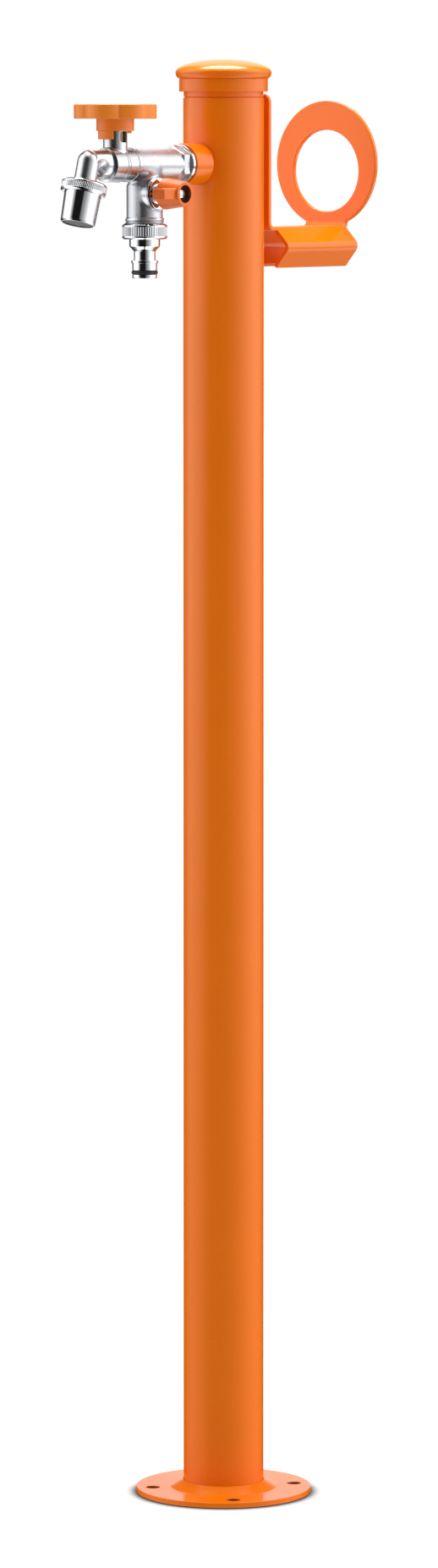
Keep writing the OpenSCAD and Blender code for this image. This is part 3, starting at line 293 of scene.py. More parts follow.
class WaterpostHandles(bpy.types.PropertyGroup):
    """Sizes of the handwheel, the side knob and their screws."""

    lobe: size("Lobe", "Radius of each lobe", 14)
    lobes: count("Lobes", "Number of lobes", 6)
    lobe_turn: angle("Lobe turn", "Angle of the first lobe from +X", -74)
    rim: size("Rim", "Thickness of the handwheel", 9.6)
    wheel_edge: size("Wheel edge", "Rounding of the handwheel's edges", 0.8)
    dish: size("Dish", "Radius of the dish on top", 17)
    dish_depth: size("Dish depth", "Depth of the dish", 1.2)
    hub: size("Hub", "Radius of the hub", 12.6)
    lug_in: size("Lug set-in", "Set-in of the stop lugs from the hub", 0.5)
    hub_cup: size("Hub cup", "Depth of the cup over the neck", 2.65)
    long_lug: size("Long lug", "Length of the long stop lug", 5.6)
    short_lug: size("Short lug", "Length of the short stop lug", 1.6)
    long_sweep: angle("Long sweep", "Half of the long lug's sweep", 32.5)
    short_sweep: angle("Short sweep", "Half of the short lug's sweep", 25)
    knob_foot: size("Knob foot", "Radius of the knob at its foot", 10.6)
    knob_end: size("Knob end", "Radius of the knob at its end", 8.3)
    knob_edge: size("Knob edge", "Rounding of the knob's edges", 0.7)
    lever_height: size("Lever height", "Height of the lever", 7.4)
    lever_width: size("Lever width", "Width of the lever along the knob", 10.4)
    lever_back: size("Lever set-back", "Set-back of the lever from the knob's end", 1.9)
    recess: size("Recess", "Radius of the screw's recess", 6)
    screw_head: size("Screw head", "Radius of the screws' heads", 3.8)
    screw_height: size("Head height", "Height of the screws' heads", 2.4)
    screw_shank: size("Screw shank", "Radius of the screws' shanks", 1.5)
    screw_length: size("Screw length", "Length of the screws' shanks", 7)
    screw_dome: size("Screw dome", "Radius of the screw heads' crowns", 5.2)
    screw_edge: size("Screw edge", "Rounding of the screw heads", 0.35)
    screw_step: size("Screw step", "Step of the screws' meshes", 0.16)
    wheel: size("Handwheel radius", "Radius over the lobes", 27.7)
    valley: size("Valley", "Rounding of the valleys between the lobes", 0.3)
    lug_edge: size("Lug edge", "Rounding of the lugs and recesses", 0.3)
    square: size("Square hole", "Size of the square holes", 4.3)
    step: size("Mesh step", "Step of the handles' meshes", 0.4)


class WaterpostStage(bpy.types.PropertyGroup):
    """The studio and the camera."""

    azimuth: angle("Azimuth", "Turn of the camera from the tap towards the knob", 39)
    distance: size("Distance", "Level distance from the camera to the post", 4520)
    height: size("Height", "Height of the camera", 948.2)
    pitch: angle("Pitch", "Downward pitch of the camera", 4.07)
    lens: bpy.props.FloatProperty(name="Lens", description="Focal length", default=152.53, unit="CAMERA")
    shift_x: share("Shift X", "Sideways shift of the lens", -0.0029, least=-1.0)
    shift_y: share("Shift Y", "Upright shift of the lens", -0.1285, least=-1.0)
    room: share("Room", "Brightness of the studio's walls", 1.32, 4.0)
    wall_foot: share("Wall foot", "Share of the walls' light left at their foot", 0.16)
    ceiling: share("Ceiling", "Brightness of the ceiling", 1.0, 20.0)
    lamp_power: share("Lamp power", "Power of the overhead lamp, in watts", 20.0, 500.0)
    lamp_width: size("Lamp width", "Width of the overhead lamp", 800)
    lamp_height: size("Lamp height", "Height of the overhead lamp over the floor", 1900)
    floor_reach: size("Floor reach", "Half the width of the floor", 12000)
    floor_drop: size("Floor drop", "How far the floor lies under the flange", 0.5)
    floor: tint("Floor", "Colour of the floor", 0.42, 0.42, 0.42)
    floor_bounce: share("Floor bounce", "Brightness of the floor as the post sees it", 0.82, 2.0)
    floor_lift: share("Floor lift", "Share of white that the camera sees on the floor", 0.68)
    contact: size("Contact shade", "Reach of the shade where the object meets the floor", 13)
    contact_colour: tint("Contact colour", "Colour of the shade under the object", 0.10, 0.11, 0.12)
    contact_depth: share("Contact depth", "Strength of the contact shade", 5.0, 20.0)


def meet(edge, *offsets):
    """Distance to a shape given by its offsets from perpendicular limits, its edges rounded."""
    stack = np.stack(offsets) + edge
    return np.minimum(stack.max(0), 0) + np.linalg.norm(np.maximum(stack, 0), axis=0) - edge


def between(value, start, end):
    """Offset of a value from the stretch between two others."""
    return np.abs(value - (start + end) / 2) - abs(end - start) / 2


def rod(p, axis, centre, radius, start, end, edge=0.0):
    """Distance to a round bar along an axis, its rims rounded by edge; radius may vary by point."""
    a, b = (axis + 1) % 3, (axis + 2) % 3
    around = np.hypot(p[..., a] - centre[a], p[..., b] - centre[b]) - radius
    return meet(edge, around, between(p[..., axis], start, end))


def block(p, corner, other, edge=0.0):
    """Distance to a box between two corners, its edges rounded."""
    return meet(edge, *[between(p[..., i], corner[i], other[i]) for i in range(3)])


def cut_all(body, *holes):
    """Distance to a body less some holes, their edges sharp."""
    return -np.minimum.reduce([-body, *holes])


def along_line(u, v, line):
    """Distance in a plane to a line through points."""
    nearest = None
    for (u0, v0), (u1, v1) in zip(line, line[1:]):
        du, dv = u1 - u0, v1 - v0
        share = np.clip(((u - u0) * du + (v - v0) * dv) / (du * du + dv * dv), 0, 1)
        gap = np.hypot(u - u0 - share * du, v - v0 - share * dv)
        nearest = gap if nearest is None else np.minimum(nearest, gap)
    return nearest


def melt(a, b, fillet):
    """Union of two distances with a fillet between them."""
    h = np.maximum(fillet - np.abs(a - b), 0) / fillet
    return np.minimum(a, b) - h * h * fillet / 4


def carve(a, b, fillet):
    """First distance less the second, with a rounded edge."""
    return -melt(-a, b, fillet)


def net_faces(inside, index):
    """The quads of a surface net: one round each grid edge that has one end inside."""
    faces = []
    for axis in range(3):
        a, b = (axis + 1) % 3, (axis + 2) % 3
        here = [slice(None)] * 3
        there = [slice(None)] * 3
        here[axis] = slice(None, -1)
        there[axis] = slice(1, None)
        change = inside[tuple(here)] != inside[tuple(there)]
        at = np.argwhere(change)
        at = at[(at[:, a] > 0) & (at[:, b] > 0)]
        at = at[(at[:, a] < inside.shape[a] - 1) & (at[:, b] < inside.shape[b] - 1)]
        corners = []
        for back_a, back_b in ((1, 1), (0, 1), (0, 0), (1, 0)):
            cell = at.copy()
            cell[:, a] -= back_a
            cell[:, b] -= back_b
            corners.append(index[tuple(cell.T)])
        quads = np.stack(corners, axis=1)
        outward = inside[tuple(at.T)]
        faces.append(np.where(outward[:, None], quads, quads[:, ::-1]))
    return np.concatenate(faces)


def slope_at(points, distance, step):
    """The slope of a distance formula at some points, from places a small part of a step to each side."""
    parts = 20
    probe = step / parts
    sides = [distance(points + probe * unit) - distance(points - probe * unit) for unit in np.eye(3)]
    return np.stack(sides, axis=-1) / (2 * probe)


# Slope of a distance formula under which a point isn't moved further, and the steps of air round a skin
LEAST_SLOPE = 0.5
AIR = 2.3
# Corners of a grid cell
CORNERS = 8


def settle(points, distance, step, rounds=3):
    """Moves points onto the zero level of a distance formula."""
    for _ in range(rounds):
        d = distance(points)
        slope = slope_at(points, distance, step)
        length = np.maximum((slope ** 2).sum(-1), LEAST_SLOPE ** 2)
        points = points - np.clip(d / length, -step, step)[:, None] * slope
    return points


def skin(name, distance, corner, other, step):
    """A closed mesh on the zero level of a distance formula, found by a surface net."""
    corner = np.array(corner) - AIR * step
    counts = np.ceil((np.array(other) + AIR * step - corner) / step).astype(int) + 1
    xs, ys, zs = [corner[i] + step * np.arange(counts[i]) for i in range(3)]
    layers = (np.stack(np.meshgrid([x], ys, zs, indexing="ij"), axis=-1) for x in xs)
    inside = np.stack([distance(layer)[0] < 0 for layer in layers])
    cells = sum(
        inside[i:counts[0] - 1 + i, j:counts[1] - 1 + j, k:counts[2] - 1 + k].astype(int)
        for i in (0, 1) for j in (0, 1) for k in (0, 1)
    )
    mixed = (cells > 0) & (cells < CORNERS)
    index = np.full(mixed.shape, -1)
    index[mixed] = np.arange(mixed.sum())
    faces = net_faces(inside, index)
    points = settle(corner + step * (np.argwhere(mixed) + 0.5), distance, step)
    ends = np.concatenate([faces[:, [0, 1]], faces[:, [1, 2]], faces[:, [2, 3]], faces[:, [3, 0]]])
    degree = np.bincount(ends[:, 0], minlength=len(points))[:, None]
    for _ in range(2):
        total = np.zeros_like(points)
        np.add.at(total, ends[:, 0], points[ends[:, 1]])
        points = settle(points * 0.5 + total / degree * 0.5, distance, step, rounds=2)
    mesh = mesh_of(name, points, faces)
    mesh.shade_smooth()
    at = np.array([vertex.co for vertex in mesh.vertices])
    mesh.normals_split_custom_set_from_vertices(slope_at(at, distance, step).tolist())
    return mesh


def mesh_of(name, points, faces):
    """A mesh from points and faces, with its doubles merged and its empty faces gone."""
    mesh = bpy.data.meshes.new(name)
    mesh.from_pydata([tuple(p) for p in points], [], [tuple(int(i) for i in f) for f in faces])
    work = bmesh.new()
    work.from_mesh(mesh)
    bmesh.ops.remove_doubles(work, verts=work.verts, dist=MERGE)
    bmesh.ops.dissolve_degenerate(work, edges=work.edges, dist=TINY)
    work.to_mesh(mesh)
    work.free()
    return mesh


def rounded(profile, steps=4):
    """An outline of (radius, height, rounding) corners with its corners rounded."""
    points = []
    for i, (r, z, fillet) in enumerate(profile):
        here = np.array((r, z))
        if not fillet:
            points.append(here)
            continue
        before = np.array(profile[i - 1][:2]) - here
        after = np.array(profile[(i + 1) % len(profile)][:2]) - here
        before, after = before / np.linalg.norm(before), after / np.linalg.norm(after)
        half = math.acos(max(-1.0, min(1.0, float(before @ after)))) / 2
        start, end = here + before * fillet / math.tan(half), here + after * fillet / math.tan(half)
        centre = here + (before + after) / np.linalg.norm(before + after) * fillet / math.sin(half)
        for k in range(steps + 1):
            way = (start - centre) * (1 - k / steps) + (end - centre) * k / steps
            points.append(centre + way / np.linalg.norm(way) * fillet)
    return points


def turned(name, profile, place=None, around=AROUND):
    """A closed turned mesh from an outline of (radius, height, rounding) corners."""
    outline = rounded(profile)
    n = len(outline)
    turns = [2 * math.pi * j / around for j in range(around)]
    points = [(max(r, 0.0) * math.cos(w), max(r, 0.0) * math.sin(w), z) for w in turns for r, z in outline]
    faces = []
    for j in range(around):
        for i in range(n):
            ring, following = j * n, (j + 1) % around * n
            faces.append((ring + i, following + i, following + (i + 1) % n, ring + (i + 1) % n))
    mesh = mesh_of(name, points, faces)
    work = bmesh.new()
    work.from_mesh(mesh)
    bmesh.ops.recalc_face_normals(work, faces=work.faces)
    work.to_mesh(mesh)
    work.free()
    if place is not None:
        mesh.transform(place)
    return mesh


def ring_outline(inner, outer, start, end, edge):
    """The outline of a plain ring with rounded edges."""
    return [(inner, start, edge), (outer, start, edge), (outer, end, edge), (inner, end, edge)]


def along_tap():
    """Local +Z along the tap's axis, away from the post."""
    return Matrix.Translation((0, 0, TAP_Z)) @ Matrix.Rotation(math.pi / 2, 4, "X")


def along_knob():
    """Local +Z along the side knob's axis."""
    return Matrix.Translation((0, BRANCH_Y, KNOB_Z)) @ Matrix.Rotation(math.pi / 2, 4, "Y")


def along_leg(tap):
    """Local +Z down the spout's leg, from the bend."""
    bend_z = TAP_Z + tap.pipe_rise + (tap.pipe_height - tap.pipe_width) / 2
    bend = Matrix.Translation((0, FACE_Y - tap.spout_reach, bend_z))
    return bend @ Matrix.Rotation(math.pi - tap.leg_tilt, 4, "X")


def joined(name, meshes):
    """One mesh made of several."""
    work = bmesh.new()
    for mesh in meshes:
        work.from_mesh(mesh)
    whole = bpy.data.meshes.new(name)
    work.to_mesh(whole)
    work.free()
    return whole


def evaluated(name, mesh, *adders):
    """The mesh after modifiers, each added by a function that is given the holder."""
    holder = bpy.data.objects.new(name + "_holder", mesh)
    bpy.context.scene.collection.objects.link(holder)
    for add in adders:
        add(holder)
    ready = holder.evaluated_get(bpy.context.evaluated_depsgraph_get())
    result = bpy.data.meshes.new_from_object(ready)
    bpy.data.objects.remove(holder)
    result.name = name
    return result


def cut_by(mesh):
    """A cutter made of a mesh, and a function that cuts it out of a holder."""
    cutter = bpy.data.objects.new("cutter", mesh)
    bpy.context.scene.collection.objects.link(cutter)
    cutter.hide_render = True

    def add(holder):
        """Adds the cut to a holder."""
        modifier = holder.modifiers.new("cut", "BOOLEAN")
        modifier.object = cutter
        modifier.solver = "EXACT"
    return cutter, add


def by_area(holder):
    """Adds normals that follow the large faces to a holder."""
    modifier = holder.modifiers.new("normals", "WEIGHTED_NORMAL")
    modifier.keep_sharp = True


def piece(name, mesh, body, slot, nodes, sharp_from=SHARP_FROM, look=None, deep=None):
    """Shows a mesh as a finished piece that rides on a body and stands for frame nodes."""
    mesh.materials.clear()
    mesh.materials.append(finish(look or slot))
    if not mesh.has_custom_normals:
        mesh.shade_smooth()
        mesh.set_sharp_from_angle(angle=sharp_from)
        mesh = evaluated(name, mesh, by_area)
    # Painted shade: a point attribute that darkens the finish in hollows that lie in shade
    if deep:
        shade = mesh.attributes.new("deep", "FLOAT", "POINT")
        shade.data.foreach_set("value", [deep(vertex.co) for vertex in mesh.vertices])
    shown = bpy.data.objects.new(name, mesh)
    bpy.context.scene.collection.objects.link(shown)
    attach(shown, body)
    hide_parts(*nodes)


class Tree:
    """A node tree with short calls to add and link nodes."""

    def __init__(self, nodes_of):
        self.tree = nodes_of
        self.nodes = nodes_of.nodes

    def link(self, source, socket):
        """Links a node's output, or a node's first one, to a socket."""
        self.tree.links.new(getattr(source, "outputs", [source])[0], socket)

    def fill(self, socket, value):
        """Gives a socket a value, a node or another node's output."""
        if isinstance(value, (bpy.types.Node, bpy.types.NodeSocket)):
            self.link(value, socket)
        else:
            socket.default_value = value

    def add(self, kind, operation=None, **inputs):
        """Adds a node and fills the inputs that are named, or numbered as in _0."""
        node = self.nodes.new(kind)
        if operation:
            node.operation = operation
        for name, value in inputs.items():
            self.fill(node.inputs[int(name[1:]) if name[0] == "_" else name.replace("_", " ")], value)
        return node

    def math(self, operation, *values):
        """Adds a node that calculates with up to three values."""
        return self.add("ShaderNodeMath", operation, **{"_%d" % i: value for i, value in enumerate(values)})

    def mix(self, factor, first, second):
        """Adds a node that mixes two colours, and returns the mixed colour."""
        node = self.nodes.new("ShaderNodeMix")
        node.data_type = "RGBA"
        factor_in, first_in, second_in, colour_out = 0, 6, 7, 2
        for socket, value in ((factor_in, factor), (first_in, first), (second_in, second)):
            self.fill(node.inputs[socket], value)
        return node.outputs[colour_out]


def ramp(tree, factor, stops):
    """A colour ramp of grey stops, as pairs of place and brightness."""
    node = tree.add("ShaderNodeValToRGB", Fac=factor)
    elements = node.color_ramp.elements
    for place, _ in stops[1:-1]:
        elements.new(place)
    for element, (place, grey) in zip(elements, stops):
        element.position = place
        element.color = (grey, grey, grey, 1)
    return node


# Scale of the broad clouds in every finish, share of the colour that painted shade leaves in a recess,
# and the level of the plain reflection
CLOUD = 30 * MM
PAINTED_SHADE_SHARE = 0.15
SHEEN = 0.36
# Noise values between which the colour and the gloss vary
TONES, GLOSSES = (0.12, 0.38), (0.3, 0.7)
# How strong the grain's finer steps are, and what the clouds let through of it: the range and the least
GRAIN_STEPS = 0.6
CLOUD_RANGE, CLOUD_LEAST = 0.5, 0.25

# Each finish: its colour's name, metal share, roughness and its spread, grain size, grain height,
# and how far the colour varies
FINISHES = {
    "post_paint": ("paint", 0.0, 0.21, 0.03, 1.1 * MM, 0.006 * MM, 0.03),
    "polished_chrome": ("chrome", 1.0, 0.06, 0.02, 2.5 * MM, 0.001 * MM, 0.02),
    "satin_chrome": ("cast", 1.0, 0.26, 0.05, 0.5 * MM, 0.003 * MM, 0.06),
    "cast_chrome": ("cast", 1.0, 0.33, 0.07, 0.9 * MM, 0.018 * MM, 0.16),
    "wheel_plastic": ("wheel", 0.0, 0.32, 0.05, 0.8 * MM, 0.012 * MM, 0.05),
    "knob_plastic": ("knob", 0.0, 0.34, 0.05, 0.8 * MM, 0.012 * MM, 0.05),
    "black_rubber": ("rubber", 0.0, 0.48, 0.10, 0.5 * MM, 0.01 * MM, 0.20),
    "seat_plastic": ("seat", 0.0, 0.38, 0.05, 1.0 * MM, 0.004 * MM, 0.04),
    "dark_plastic": ("spacer", 0.0, 0.50, 0.08, 0.8 * MM, 0.015 * MM, 0.12),
    "pipe_plastic": ("pipe", 0.0, 0.42, 0.06, 1.5 * MM, 0.008 * MM, 0.08),
    "bare_brass": ("brass", 1.0, 0.28, 0.10, 0.8 * MM, 0.012 * MM, 0.14),
    "screw_steel": ("screw", 1.0, 0.17, 0.07, 0.6 * MM, 0.004 * MM, 0.08),
    "mesh_steel": ("cloth", 1.0, 0.42, 0.08, 0.5 * MM, 0.004 * MM, 0.10),
    "fibre": ("fibre", 0.0, 0.75, 0.10, 0.4 * MM, 0.03 * MM, 0.25),
}


def finish(slot):
    """The procedural material of a slot: grain in its colour, gloss and height, and painted shade where a
    mesh marks it.
    """
    name = slot + "_finish"
    if name in bpy.data.materials:
        return bpy.data.materials[name]
    colour_name, metal, rough, uneven, grain, height, spread = FINISHES[slot]
    colour = getattr(bpy.context.scene.waterpost_colours, colour_name)
    material = bpy.data.materials.new(name)
    material.use_nodes = True
    tree = Tree(material.node_tree)
    shader = tree.nodes["Principled BSDF"]
    place = tree.add("ShaderNodeTexCoord").outputs["Object"]
    noise = tree.add("ShaderNodeTexNoise", Vector=place, Scale=1 / grain, Detail=3.0, Roughness=GRAIN_STEPS)
    clouds = tree.add("ShaderNodeTexNoise", Vector=place, Scale=1 / CLOUD, Detail=2.0)
    fine, broad = noise.outputs["Fac"], clouds.outputs["Fac"]
    mixed = tree.math("MULTIPLY", tree.math("MULTIPLY_ADD", broad, CLOUD_RANGE, CLOUD_LEAST), fine)
    tone = tree.add("ShaderNodeMapRange", _0=mixed, _1=TONES[0], _2=TONES[1], _3=0.0, _4=1.0)
    dark, light, dim = [
        tuple(min(1.0, channel * part) for channel in colour) + (1,)
        for part in (1 - spread, 1 + spread, PAINTED_SHADE_SHARE)
    ]
    # Painted shade: where a piece's mesh marks it, the colour is mixed down towards its shaded share
    deep = tree.add("ShaderNodeAttribute")
    deep.attribute_name = "deep"
    tree.link(tree.mix(deep.outputs["Fac"], tree.mix(tone, dark, light), dim), shader.inputs["Base Color"])
    gloss = tree.add(
        "ShaderNodeMapRange", _0=fine, _1=GLOSSES[0], _2=GLOSSES[1], _3=rough - uneven, _4=rough + uneven,
    )
    tree.link(gloss, shader.inputs["Roughness"])
    bump = tree.add("ShaderNodeBump", Strength=1.0, Distance=height, Height=fine)
    tree.link(bump, shader.inputs["Normal"])
    shader.inputs["Metallic"].default_value = metal
    shader.inputs["Specular IOR Level"].default_value = SHEEN
    return material


def grow_tree(name, *labels):
    """A new geometry node tree with named inputs; returns it and its group input."""
    group = bpy.data.node_groups.new(name, "GeometryNodeTree")
    group.interface.new_socket("Geometry", in_out="INPUT", socket_type="NodeSocketGeometry")
    for label in labels:
        kind = "NodeSocketInt" if label == "Count" else "NodeSocketFloat"
        group.interface.new_socket(label, in_out="INPUT", socket_type=kind)
    group.interface.new_socket("Geometry", in_out="OUTPUT", socket_type="NodeSocketGeometry")
    tree = Tree(group)
    return tree, tree.add("NodeGroupInput").outputs


def close_tree(tree, geometry, material):
    """Ends a geometry node tree with real geometry that has its material."""
    real = tree.add("GeometryNodeRealizeInstances", Geometry=geometry)
    painted = tree.add("GeometryNodeSetMaterial", Geometry=real, Material=material)
    tree.add("NodeGroupOutput", Geometry=painted)


def grown(name, tree, mesh, **values):
    """The mesh that a geometry node tree makes, with its named inputs set."""
    def add(holder):
        """Adds the tree to a holder and sets its inputs."""
        modifier = holder.modifiers.new("growth", "NODES")
        modifier.node_group = tree.tree
        for item in tree.tree.interface.items_tree:
            if item.in_out == "INPUT" and item.name in values:
                modifier[item.identifier] = values[item.name]
    return evaluated(name, mesh or bpy.data.meshes.new(name), add)


def around_circle(tree, number, radius):
    """Points round a circle, and the angle of each."""
    circle = tree.add("GeometryNodeMeshCircle", Vertices=number, Radius=radius)
    pitch = tree.math("DIVIDE", 2 * math.pi, number)
    return circle, tree.math("MULTIPLY", tree.add("GeometryNodeInputIndex"), pitch)


def ridge_ring_tree(slot, ways):
    """Round bars round a nut, slanted each of the given ways."""
    tree, group = grow_tree("Ridge ring", "Count", "Radius", "Height", "Ridge", "Slant")
    points, turn = around_circle(tree, group["Count"], group["Radius"])
    bar = tree.add(
        "GeometryNodeMeshCylinder", Vertices=RIDGE_SIDES, Radius=group["Ridge"], Depth=group["Height"],
    )
    both = tree.add("GeometryNodeJoinGeometry")
    for way in ways:
        lean = tree.add("ShaderNodeCombineXYZ", X=tree.math("MULTIPLY", group["Slant"], way), Z=turn)
        bars = tree.add("GeometryNodeInstanceOnPoints", Points=points, Instance=bar, Rotation=lean)
        tree.link(bars, both.inputs[0])
    close_tree(tree, both, finish(slot))
    return tree


def bolt_hole_tree():
    """Chamfered bolt holes on a circle, cut through the flange."""
    tree, group = grow_tree("Bolt holes", "Count", "Circle", "Hole", "Chamfer", "Depth", "Turn")
    points, _ = around_circle(tree, group["Count"], group["Circle"])
    reach = tree.math("MULTIPLY", group["Depth"], 4.0)
    bore = tree.add("GeometryNodeMeshCylinder", Vertices=HOLE_SIDES, Radius=group["Hole"], Depth=reach)
    wide = tree.math("MULTIPLY_ADD", group["Chamfer"], 2.0, group["Hole"])
    narrow = tree.math("SUBTRACT", group["Hole"], group["Chamfer"])
    tall = tree.math("MULTIPLY", group["Chamfer"], 3.0)
    sink = tree.add(
        "GeometryNodeMeshCone", Vertices=HOLE_SIDES, Radius_Top=wide, Radius_Bottom=narrow, Depth=tall,
    )
    foot = tree.math("MULTIPLY_ADD", group["Chamfer"], -2.0, group["Depth"])
    lift = tree.add("ShaderNodeCombineXYZ", Z=foot)
    placed = tree.add("GeometryNodeTransform", Geometry=sink, Translation=lift)
    spin = tree.add("ShaderNodeCombineXYZ", Z=group["Turn"])
    cut = tree.add("GeometryNodeMeshBoolean", "DIFFERENCE")
    cut.solver = "EXACT"
    tree.link(group["Geometry"], cut.inputs[0])
    for cutter in (bore, placed):
        copies = tree.add("GeometryNodeInstanceOnPoints", Points=points, Instance=cutter)
        spun = tree.add("GeometryNodeTransform", Geometry=copies, Rotation=spin)
        solid = tree.add("GeometryNodeRealizeInstances", Geometry=spun)
        tree.link(solid, cut.inputs[1])
    close_tree(tree, cut, finish("post_paint"))
    return tree


def wire_cloth_tree():
    """Two crossing layers of straight wires, each as long as a round disc is wide there."""
    tree, group = grow_tree("Wire cloth", "Radius", "Pitch", "Wire")
    half = tree.math("FLOOR", tree.math("DIVIDE", group["Radius"], group["Pitch"]))
    number = tree.math("MULTIPLY_ADD", half, 2.0, 1.0)
    edge = tree.math("MULTIPLY", half, group["Pitch"])
    first = tree.add("ShaderNodeCombineXYZ", X=tree.math("MULTIPLY", edge, -1.0))
    step = tree.add("ShaderNodeCombineXYZ", X=group["Pitch"])
    line = tree.add("GeometryNodeMeshLine", Count=number, Start_Location=first, Offset=step)
    place = tree.add("ShaderNodeSeparateXYZ", Vector=tree.add("GeometryNodeInputPosition"))
    whole = tree.math("MULTIPLY", group["Radius"], group["Radius"])
    reach = tree.math("SQRT", tree.math("SUBTRACT", whole, tree.math("MULTIPLY", place, place)))
    scale = tree.add("ShaderNodeCombineXYZ", X=1.0, Y=1.0, Z=tree.math("MULTIPLY", reach, 2.0))
    thick = tree.math("MULTIPLY", group["Wire"], 0.5)
    wire = tree.add("GeometryNodeMeshCylinder", Vertices=WIRE_SIDES, Radius=thick, Depth=1.0)
    wires = tree.add(
        "GeometryNodeInstanceOnPoints", Points=line, Instance=wire, Rotation=(math.pi / 2, 0.0, 0.0),
        Scale=scale,
    )
    lifted = tree.add("ShaderNodeCombineXYZ", Z=group["Wire"])
    crossed = tree.add(
        "GeometryNodeTransform", Geometry=wires, Translation=lifted, Rotation=(0.0, 0.0, math.pi / 2),
    )
    both = tree.add("GeometryNodeJoinGeometry")
    for layer in (wires, crossed):
        tree.link(layer, both.inputs[0])
    close_tree(tree, both, finish("mesh_steel"))
    return tree


def thread_mesh(name, radius, depth, pitch, start, end, bore, place):
    """A closed sleeve with a helical thread on its outside, which runs out at both ends."""
    around, rows_per_turn = 96, 10
    flank_share, runout_share = 0.8, 0.35
    rows = int(round((end - start) / pitch * rows_per_turn))
    turns = [2 * math.pi * j / around for j in range(around)]
    points, faces = [], []
    for i in range(rows + 1):
        z = start + (end - start) * i / rows
        cut = depth * max(runout_share, min(1.0, (z - start) / pitch, (end - z) / pitch))
        for w in turns:
            flank = 1 - abs(2 * ((z / pitch - w / (2 * math.pi)) % 1.0) - 1)
            r = radius - cut * (1 - min(1.0, flank / flank_share))
            points.append((r * math.cos(w), r * math.sin(w), z))
    for z in (end, start):
        points += [(bore * math.cos(w), bore * math.sin(w), z) for w in turns]
    for i in range(rows + 3):
        this, following = i * around, (i + 1) % (rows + 3) * around
        for j in range(around):
            k = (j + 1) % around
            faces.append((this + j, this + k, following + k, following + j))
    mesh = mesh_of(name, points, faces)
    mesh.transform(place)
    return mesh


def circle_outline(radius, height, section, steps=24):
    """The outline of a round section."""
    turns = [2 * math.pi * i / steps for i in range(steps)]
    return [(radius + section * math.cos(w), height + section * math.sin(w), 0) for w in turns]


def upright(y):
    """Local +Z upright, at a place along the tap."""
    return Matrix.Translation((0, y, 0))


class WATERPOST_OT_flange(bpy.types.Operator):
    """Rebuild the flange: a turned plate and collar with chamfered bolt holes"""

    bl_idname = "waterpost.flange"
    bl_label = "Flange"

    def execute(self, context):
        """Turns the plate and cuts the holes with a Geometry Nodes tree."""
        p = context.scene.waterpost_post
        bore, top, outer = POST_R + p.seam, high("base_flange", Z), -low("base_flange", X)
        blank = turned("flange_blank", [
            (bore, 0, 0), (outer, 0, p.edge / 2), (outer, p.flange, p.edge),
            (POST_R + p.collar_out, p.flange, p.edge), (bore + p.collar_land, top, p.edge / 2),
            (bore + p.collar_groove, top, 0), (bore, top - 2 * p.collar_groove, 0),
        ], around=WIDE_AROUND)
        mesh = grown(
            "flange", bolt_hole_tree(), blank, Count=p.bolts, Circle=p.bolt_circle / 2, Hole=p.bolt_hole / 2,
            Chamfer=p.hole_chamfer, Depth=p.flange, Turn=p.bolt_turn,
        )

        # Painted shade darkens the walls and bottoms of the bolt holes
        def hole(co):
            """How dark the painted shade makes the flange at a place: dark in its holes."""
            pitch = 2 * math.pi / p.bolts
            away = (math.atan2(co.y, co.x) - p.bolt_turn + pitch / 2) % pitch - pitch / 2
            reach = math.hypot(co.x, co.y)
            from_bolt = math.hypot(reach * math.cos(away) - p.bolt_circle / 2, reach * math.sin(away))
            return PAINTED_HOLE_SHADE * (from_bolt < p.bolt_hole / 2 + p.hole_chamfer / 2)

        piece("flange", mesh, "post", "post_paint", ["base_flange"], deep=hole)
        return {"FINISHED"}


